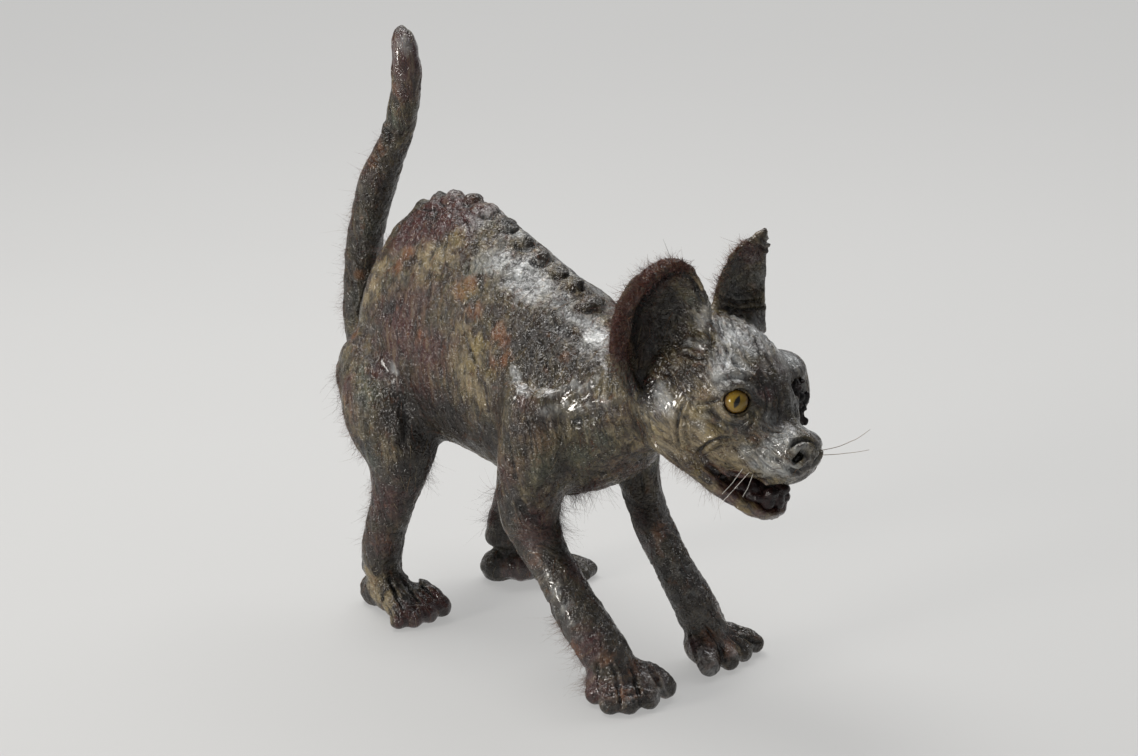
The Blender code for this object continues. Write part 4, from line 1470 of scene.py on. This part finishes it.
    def grain(self, points: np.ndarray) -> np.ndarray:
        """Coordinates whose last axis runs as the fibres do: back on the head, down elsewhere.

        Args:
            points: The points, one a row.

        Returns:
            Their coordinates, one a row.
        """
        head = self.head_share(points)
        back, front = (self.figure.at((x, 0, 0)).x for x in self.forearm_reach)
        forearm = smooth_step(points[:, 0], back, front)
        forearm = forearm * (1 - smooth_step(points[:, 2], *self.forearm_height))
        angle = np.radians(self.grain_tilt + self.head_tilt * head - self.forearm_tilt * forearm)
        along = points[:, 2] * np.cos(angle) + points[:, 0] * -np.sin(angle)
        across = points[:, 0] * np.cos(angle) + points[:, 2] * np.sin(angle)
        return np.column_stack((across, points[:, 1], along))

    def head_share(self, points: np.ndarray) -> np.ndarray:
        """How much each point belongs to the head.

        Args:
            points: The points, one a row.

        Returns:
            A share for each point.
        """
        back, front = (self.figure.at((x, 0, 0)).x for x in self.neck)
        under, over = (self.figure.at((0, 0, z)).z for z in self.jaw)
        return smooth_step(points[:, 0], back, front) * smooth_step(points[:, 2], under, over)


class Strands:
    """Hairs as thin tapered tubes: one shape made with mesh operators, then bent along each path."""

    SIDES = 3
    SIDEWAYS = (0.31, 0.17, 0.93)

    def __init__(self, segments: int) -> None:
        """Make the shape that every hair repeats.

        Args:
            segments: How many straight pieces a hair has.
        """
        form = bmesh.new()
        ring = bmesh.ops.create_circle(form, segments=self.SIDES, radius=1.0)["verts"]
        edges = list({edge for vertex in ring for edge in vertex.link_edges})
        for _ in range(segments):
            grown = bmesh.ops.extrude_edge_only(form, edges=edges)["geom"]
            fresh = [item for item in grown if isinstance(item, bmesh.types.BMVert)]
            edges = [item for item in grown if isinstance(item, bmesh.types.BMEdge)]
            bmesh.ops.translate(form, verts=fresh, vec=(0, 0, 1))
        bmesh.ops.holes_fill(form, edges=form.edges, sides=self.SIDES)
        bmesh.ops.recalc_face_normals(form, faces=form.faces)
        form.verts.index_update()
        self.shape = np.array([vertex.co for vertex in form.verts])
        self.faces = [[vertex.index for vertex in face.verts] for face in form.faces]
        form.free()
        self.segments = segments
        self.points: list[np.ndarray] = []
        self.shades: list[np.ndarray] = []

    def add(self, path: np.ndarray, radius: float, taper: float, shade: float) -> None:
        """Bend one hair along a path.

        Args:
            path: Its points, one more than it has segments.
            radius: Its radius at the root, in metres.
            taper: Its tip's radius as a share of that.
            shade: Where its colour is on the ramp, from 0 to 1.
        """
        ahead = np.gradient(path, axis=0)
        ahead /= np.linalg.norm(ahead, axis=1)[:, None] + 1e-12
        across = np.cross(ahead, self.SIDEWAYS)
        across /= np.linalg.norm(across, axis=1)[:, None] + 1e-12
        third = np.cross(ahead, across)
        level = np.rint(self.shape[:, 2]).astype(int)
        width = radius * (1 - (1 - taper) * level / self.segments)
        offset = self.shape[:, :1] * across[level] + self.shape[:, 1:2] * third[level]
        self.points.append(path[level] + offset * width[:, None])
        self.shades.append(np.full(len(self.shape), shade))

    def mesh(self, name: str) -> bpy.types.Mesh:
        """All the hairs as one mesh.

        Args:
            name: The mesh's name.

        Returns:
            The mesh.
        """
        mesh = bpy.data.meshes.new(name)
        count = len(self.shape)
        faces = [[v + count * i for v in face] for i in range(len(self.points)) for face in self.faces]
        mesh.from_pydata(np.vstack(self.points).tolist(), [], faces)
        mesh.update()
        set_numbers(mesh, "shade", np.concatenate(self.shades))
        return mesh


@dataclass
class StrayHair:
    """The hairs that stand off the ears, the tail, the legs, the chest and the chin."""

    name: str
    tufts: tuple[Tuft, ...]
    surface: Surface
    seed: int
    segments: int = 5
    root_radii: tuple[float, float] = (0.035, 0.075)
    floor_gap: float = 0.3
    scatter: float = 0.32
    curl: float = 1.05
    droop: float = -0.30
    shade_spread: float = 0.20
    root_samples: int = 30
    length_chance: tuple[float, float] = (6.0, 0.15)
    off_skin: float = 0.45
    along_lean: float = 0.8
    root_depth: float = 0.3
    taper: float = 0.25

    def build(self) -> bpy.types.Object:
        """Grow every tuft as one piece.

        Returns:
            The piece.
        """
        rng = np.random.default_rng(self.seed)
        strands = Strands(self.segments)
        for tuft in self.tufts:
            self.grow(tuft, strands, rng)
        stops = (
            (0.0, (0.010, 0.008, 0.007)), (0.25, (0.080, 0.017, 0.016)), (0.5, (0.135, 0.045, 0.022)),
            (0.75, (0.24, 0.15, 0.08)), (1.0, (0.45, 0.38, 0.28)),
        )
        hair = add_object(self.name, strands.mesh(self.name), HairFinish(self.name, stops).build())
        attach(hair, BODY)
        return hair

    def grow(self, tuft: Tuft, strands: Strands, rng: np.random.Generator) -> None:
        """Grow one tuft.

        Args:
            tuft: What grows, and where.
            strands: Where its hairs are kept.
            rng: The seeded source of chance.
        """
        roots = self.surface.traced(tuft.line, self.root_samples)
        lean = Vector(tuft.lean).normalized()
        for _ in range(tuft.hairs):
            near = Vector(roots[rng.integers(len(roots))]) + Vector(rng.normal(0, tuft.spread * MM * 0.5, 3))
            root, normal, _, _ = self.surface.tree.find_nearest(near)
            length = tuft.length * MM * rng.gamma(*self.length_chance)
            start = normal * self.off_skin + lean * self.along_lean + Vector(rng.normal(0, self.scatter, 3))
            start.normalize()
            bend = Vector(rng.normal(0, self.curl, 3)) + Vector((0, 0, self.droop))
            shares = np.linspace(0, 1, self.segments + 1)
            origin = root - normal * self.root_depth * MM
            path = np.array([origin + start * length * s + bend * length * s * s * 0.5 for s in shares])
            path[:, 2] = np.maximum(path[:, 2], self.floor_gap * MM)
            shade = float(np.clip(tuft.shade + rng.normal(0, self.shade_spread), 0, 1))
            strands.add(path, rng.uniform(*self.root_radii) * MM, self.taper, shade)


@dataclass
class LaidFibres:
    """Fibres pasted flat on the skin under the lacquer, which give it its streaks."""

    surface: Surface
    points: np.ndarray
    normals: np.ndarray
    figure: Figure
    count: int = 3400
    seed: int = 23
    segments: int = 6
    lengths: tuple[float, float] = (4.0, 13.0)
    radii: tuple[float, float] = (0.06, 0.14)
    scatter: float = 0.28
    curl: float = 0.10
    above_skin: float = 0.05
    taper: float = 0.3
    shade_chance: tuple[float, float] = (0.8, 1.4)
    head_from: Place = (95, 0, 112)
    back_from_nose: Place = (-0.80, 0.0, 0.50)
    downwards: Place = (-0.25, 0.0, -1.0)

    def build(self) -> bpy.types.Object:
        """Lay every fibre as one piece.

        Returns:
            The piece.
        """
        rng = np.random.default_rng(self.seed)
        strands = Strands(self.segments)
        chosen = rng.choice(len(self.points), self.count, replace=False)
        for index in chosen:
            self.lay(Vector(self.points[index]), Vector(self.normals[index]), strands, rng)
        stops = (
            (0.0, (0.012, 0.010, 0.009)), (0.3, (0.06, 0.02, 0.016)), (0.5, (0.16, 0.065, 0.025)),
            (0.7, (0.24, 0.18, 0.09)), (0.88, (0.34, 0.29, 0.20)), (1.0, (0.42, 0.42, 0.40)),
        )
        finish = HairFinish("laid_fibre", stops, 0.30).build()
        fibres = add_object("laid_fibres", strands.mesh("laid_fibres"), finish)
        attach(fibres, BODY)
        return fibres

    def drift(self, place: Vector) -> Vector:
        """Which way the fibres run at a place: back from the nose on the head, else down."""
        neck = self.figure.at(self.head_from)
        on_head = place.x > neck.x and place.z > neck.z
        return Vector(self.back_from_nose if on_head else self.downwards)

    def lay(self, start: Vector, normal: Vector, strands: Strands, rng: np.random.Generator) -> None:
        """Lay one fibre along the skin.

        Args:
            start: Where it begins.
            normal: The skin's normal there.
            strands: Where it is kept.
            rng: The seeded source of chance.
        """
        run = self.drift(start) + Vector(rng.normal(0, self.scatter, 3))
        step = rng.uniform(*self.lengths) * MM / self.segments
        curl = Vector(rng.normal(0, self.curl, 3))
        place, path = start, []
        for _ in range(self.segments + 1):
            path.append(place + normal * self.above_skin * MM)
            run = (run + curl - normal * run.dot(normal)).normalized()
            place, normal, _, _ = self.surface.tree.find_nearest(place + run * step)
        shade = float(np.clip(rng.beta(*self.shade_chance), 0, 1))
        strands.add(np.array(path), rng.uniform(*self.radii) * MM, self.taper, shade)


@dataclass
class GlassEye:
    """The glass eye in the right socket."""

    figure: Figure
    looks_along: Place = (0.68, -0.69, 0.24)
    slit_tilt: float = -22.0
    slit_half_length: float = 3.3
    slit_half_width: float = 1.3
    iris_half_angle: float = 72.0
    slit_edge: tuple[float, float] = (0.8, 1.15)

    def build(self) -> bpy.types.Object:
        """Make the eye.

        Returns:
            The eye.
        """
        form = bmesh.new()
        bmesh.ops.create_uvsphere(form, u_segments=56, v_segments=40, radius=self.figure.eye_radius)
        ahead = Vector(self.looks_along).normalized()
        turn = ahead.to_track_quat("Z", "Y").to_matrix().to_4x4()
        bmesh.ops.transform(form, matrix=Matrix.Translation(self.figure.eye) @ turn, verts=form.verts)
        mesh = bpy.data.meshes.new("eye_glass")
        form.to_mesh(mesh)
        form.free()
        self.mark(mesh, ahead)
        eye = add_object("eye_glass", mesh, AmberGlass().build())
        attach(eye, BODY)
        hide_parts("eye_right")
        return eye

    def mark(self, mesh: bpy.types.Mesh, ahead: Vector) -> None:
        """Keep how far each point is from the pupil, and whether the slit covers it.

        Args:
            mesh: The eye's mesh.
            ahead: The way the eye looks.
        """
        points = np.array([vertex.co for vertex in mesh.vertices]) - np.array(self.figure.eye)
        side = Vector((0, 0, 1)).cross(ahead).normalized()
        up = ahead.cross(side)
        tilt = math.radians(self.slit_tilt)
        along = np.array(up * math.cos(tilt) - side * math.sin(tilt))
        across = np.array(side * math.cos(tilt) + up * math.sin(tilt))
        angle = np.arccos(np.clip(points @ np.array(ahead) / self.figure.eye_radius, -1, 1))
        a = points @ along / (self.slit_half_length * MM)
        b = points @ across / (self.slit_half_width * MM)
        pointed = np.abs(b) + a ** 2
        front = points @ np.array(ahead) > 0
        set_numbers(mesh, "iris_radius", np.clip(angle / math.radians(self.iris_half_angle), 0, 1))
        set_numbers(mesh, "slit", (1 - smooth_step(pointed, *self.slit_edge)) * front)


@dataclass
class Eyelids:
    """The ring of paste that laps onto the glass eye."""

    figure: Figure
    looks_along: Place = (0.70, -0.68, 0.14)
    gap: float = 0.30
    thickness: float = 0.9
    half_width_degrees: float = 72.0
    half_height_degrees: float = 61.0
    back_degrees: float = 100.0
    waves: int = 5
    wave_height: float = 0.05

    def build(self) -> bpy.types.Object:
        """Make the ring.

        Returns:
            The ring.
        """
        ahead = Vector(self.looks_along).normalized()
        side = Vector((0, 0, 1)).cross(ahead).normalized()
        up = ahead.cross(side)
        form = bmesh.new()
        radius = self.figure.eye_radius + self.gap * MM
        bmesh.ops.create_uvsphere(form, u_segments=96, v_segments=96, radius=radius)
        bmesh.ops.rotate(form, matrix=ahead.to_track_quat("Z", "Y").to_matrix(), verts=form.verts)
        opened = []
        for vertex in form.verts:
            away = vertex.co.normalized()
            angle = math.degrees(away.angle(ahead))
            across, above = away.dot(side), away.dot(up)
            length = max(math.hypot(across, above), 1e-9)
            wave = 1 + self.wave_height * math.sin(self.waves * math.atan2(above, across))
            reach = wave / math.hypot(
                across / length / self.half_width_degrees, above / length / self.half_height_degrees,
            )
            if angle < reach or angle > self.back_degrees:
                opened.append(vertex)
        bmesh.ops.delete(form, geom=opened, context="VERTS")
        bmesh.ops.solidify(form, geom=form.faces, thickness=-self.thickness * MM)
        bmesh.ops.translate(form, vec=self.figure.eye, verts=form.verts)
        bmesh.ops.recalc_face_normals(form, faces=form.faces)
        mesh = bpy.data.meshes.new("eyelids")
        form.to_mesh(mesh)
        form.free()
        finish = WetFlesh((0.014, 0.011, 0.008), (0.150, 0.115, 0.062), "eyelid_paste").build()
        lids = add_object("eyelids", mesh, finish)
        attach(lids, BODY)
        return lids


@dataclass
class MouthFlesh:
    """The dark wet lumps that fill the back and the floor of the open mouth."""

    figure: Figure

    def build(self) -> bpy.types.Object:
        """Make the lumps as one skin.

        Returns:
            The piece.
        """
        lumps = (
            ((131, 0, 125.5), (10, 16, 4.0)), ((138, 0, 121.5), (9, 12, 4.0)),
            ((143, -5, 119.5), (3.6, 3.4, 4.2)), ((145, 0.5, 119), (3.2, 3.4, 4.8)),
            ((143, 6, 119.5), (3.6, 3.4, 4.2)), ((145, -4.5, 124), (3.6, 3.2, 2.6)),
            ((146, 2, 125), (3.8, 3.4, 2.6)), ((137, -10, 121.5), (4, 3, 2.4)),
            ((137, 10, 121.5), (4, 3, 2.4)),
        )
        flesh = fused_lumps("mouth_flesh", [(self.figure.at(c), r) for c, r in lumps], 31, 0.55)
        finish = WetFlesh((0.007, 0.003, 0.0035), (0.030, 0.013, 0.012), "wet_mouth").build()
        piece = add_object("mouth_flesh", flesh, finish)
        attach(piece, BODY)
        return piece


@dataclass
class TornSocket:
    """The black wet hollow and ragged tissue where the left eye was."""

    figure: Figure
    seed: int = 53
    shreds: int = 34
    top: Place = (136.5, 21, 170)
    bottom: Place = (141, 22.5, 152.5)
    spread: Place = (1.4, 2.2, 1.2)
    shred_radii: tuple[float, float] = (0.9, 2.3)

    def build(self) -> bpy.types.Object:
        """Make the tissue as one skin.

        Returns:
            The piece.
        """
        rng = np.random.default_rng(self.seed)
        lumps = [(self.figure.at((134, 20, 166)), (4, 5, 7))]
        for share in np.linspace(0, 1, self.shreds):
            middle = np.array(self.top) * (1 - share) + np.array(self.bottom) * share
            centre = middle + rng.normal(0, 1, 3) * self.spread
            lumps.append((self.figure.at(tuple(centre)), tuple(rng.uniform(*self.shred_radii, 3))))
        tissue = fused_lumps("torn_socket", lumps, 37, 0.75)
        finish = WetFlesh((0.005, 0.0045, 0.0045), (0.026, 0.013, 0.011), "wet_socket").build()
        piece = add_object("torn_socket", tissue, finish)
        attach(piece, BODY)
        return piece


def fused_lumps(name: str, lumps: list[tuple[Vector, Place]], seed: int, bumps: float) -> bpy.types.Mesh:
    """Round lumps fused into one bumpy skin.

    Args:
        name: The mesh's name.
        lumps: Each lump's centre in metres and its radii in millimetres.
        seed: The seed of its bumps.
        bumps: How high its bumps stand in millimetres.

    Returns:
        The mesh.
    """
    form = bmesh.new()
    for centre, radii in lumps:
        made = bmesh.ops.create_uvsphere(form, u_segments=24, v_segments=16, radius=1.0)["verts"]
        size = Matrix.Diagonal((*(Vector(radii) * MM), 1.0))
        bmesh.ops.transform(form, matrix=Matrix.Translation(centre) @ size, verts=made)
    mesh = bpy.data.meshes.new(name)
    form.to_mesh(mesh)
    form.free()
    thing = bpy.data.objects.new(name, mesh)
    bpy.context.collection.objects.link(thing)
    skin = thing.modifiers.new("skin", "REMESH")
    skin.mode = "VOXEL"
    skin.voxel_size = LUMP_VOXEL * MM
    soften = thing.modifiers.new("soften", "SMOOTH")
    soften.iterations = LUMP_SOFTENING
    mesh = with_modifiers(thing)
    points, normals = points_and_normals(mesh)
    points += normals * (Lattice(seed).fractal(points, LUMP_BUMP_CELL, 2) * bumps * MM)[:, None]
    mesh.vertices.foreach_set("co", points.astype(np.float32).ravel())
    mesh.update()
    return mesh


@dataclass
class Whiskers:
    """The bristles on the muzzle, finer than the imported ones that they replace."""

    frame: dict
    middle: float
    segments: int = 12
    stations: int = 6
    overlap: float = 1.5
    root_radius: float = 0.22
    taper: float = 0.5
    near_shade: float = 1.0
    far_shade: float = 0.3

    def build(self) -> None:
        """Make one piece for each packed whisker."""
        stops = ((0.0, (0.10, 0.05, 0.03)), (0.5, (0.30, 0.22, 0.14)), (1.0, (0.75, 0.73, 0.68)))
        finish = HairFinish("whisker", stops, 0.35).build()
        for name, node in self.frame["nodes"].items():
            if name.startswith("whisker_"):
                self.replace(name, node, finish)

    def replace(self, name: str, node: bpy.types.Object, finish: bpy.types.Material) -> None:
        """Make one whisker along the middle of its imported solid.

        Args:
            name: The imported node's name.
            node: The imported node.
            finish: The whiskers' finish.
        """
        corners = np.array([vertex.co for vertex in node.data.vertices])
        middle = corners.mean(0)
        axis = np.linalg.svd(corners - middle)[2][0]
        reach = (corners - middle) @ axis
        low_end, high_end = corners[reach.argmin()], corners[reach.argmax()]
        if abs(low_end[1] - self.middle) > abs(high_end[1] - self.middle):
            reach = -reach
        stations = np.linspace(reach.min(), reach.max(), self.stations)
        width = (reach.max() - reach.min()) / (self.overlap * self.stations)
        weights = np.exp(-((reach[None, :] - stations[:, None]) / width) ** 2)
        path = weights @ corners / weights.sum(1)[:, None]
        strands = Strands(self.segments)
        # The far side's whiskers are set darker on the ramp: painted shade on the cat's far side.
        shade = self.near_shade if "right" in name else self.far_shade
        strands.add(smooth_line(path, self.segments + 1), self.root_radius * MM, self.taper, shade)
        whisker = add_object(f"{name}_hair", strands.mesh(name), finish)
        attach(whisker, BODY)
        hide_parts(name)


@dataclass(frozen=True)
class SoftLight:
    """One soft studio light, aimed at the cat."""

    name: str
    place: Place
    size: float
    power: float
    colour: Colour = (1.0, 1.0, 1.0)

    def build(self, target: Vector) -> None:
        """Hang the light.

        Args:
            target: What it is aimed at.
        """
        data = bpy.data.lights.new(self.name, "AREA")
        data.shape = "DISK"
        data.size = self.size
        data.energy = self.power
        data.color = self.colour
        light = bpy.data.objects.new(self.name, data)
        light.location = self.place
        light.rotation_euler = (target - Vector(self.place)).to_track_quat("-Z", "Y").to_euler()
        bpy.context.collection.objects.link(light)


@dataclass
class Studio:
    """The pale floor, the even surroundings and the soft lights."""

    floor_half_width: float = 9.0
    sky: Colour = (0.97, 0.975, 1.0)
    sky_strength: float = 0.24
    lit_height: float = 0.13

    def build(self) -> None:
        """Set the stage."""
        form = bmesh.new()
        bmesh.ops.create_grid(form, x_segments=1, y_segments=1, size=self.floor_half_width)
        mesh = bpy.data.meshes.new("floor")
        form.to_mesh(mesh)
        form.free()
        floor = add_object("floor", mesh, PaleFloor().build())
        world = bpy.data.worlds.new("surroundings")
        world.use_nodes = True
        world.node_tree.nodes["Background"].inputs["Color"].default_value = (*self.sky, 1.0)
        world.node_tree.nodes["Background"].inputs["Strength"].default_value = self.sky_strength
        bpy.context.scene.world = world
        bpy.context.scene.view_settings.view_transform = "Standard"
        for light in (
            SoftLight("window", (-0.50, -1.55, 0.46), 0.38, 16.5, (1.0, 0.965, 0.91)),
            SoftLight("overhead", (-0.48, -0.12, 1.32), 0.80, 14.5, (1.0, 0.99, 0.97)),
            SoftLight("back", (-0.10, 0.95, 1.20), 0.50, 3.5, (0.98, 0.985, 1.0)),
        ):
            light.build(Vector((0, 0, self.lit_height)))
        SoftLight("far_floor", (-1.8, 1.9, 2.8), 4.0, 80.0).build(Vector((-1.7, 1.8, 0)))


def main() -> None:
    """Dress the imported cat, piece by piece."""
    logging.basicConfig(level=logging.INFO, format="%(message)s")
    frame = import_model()
    figure = Figure()
    camera = PhotoCamera(figure)
    camera.build()
    LOG.info("camera in place")
    skin = CatSkin(figure, camera).build(frame["nodes"]["cat_body"])
    LOG.info("skin: %d faces", len(skin.data.polygons))
    surface = Surface(skin.data, camera)
    points, normals = points_and_normals(skin.data)
    fibres = LaidFibres(surface, points, normals, figure).build()
    LOG.info("laid fibres: %d faces", len(fibres.data.polygons))
    for growth in (
        StrayHair("stray_hair", TUFTS, surface, 11),
        StrayHair("ear_fur", EAR_FUR, surface, 17, 4, (0.08, 0.18)),
    ):
        hair = growth.build()
        LOG.info("%s: %d faces", hair.name, len(hair.data.polygons))
    for part in (GlassEye(figure), Eyelids(figure), MouthFlesh(figure), TornSocket(figure)):
        piece = part.build()
        LOG.info("%s: %d faces", piece.name, len(piece.data.polygons))
    Whiskers(frame, figure.at((0, 0, 0)).y).build()
    LOG.info("whiskers in place")
    Studio().build()


if __name__ == "__main__":
    main()
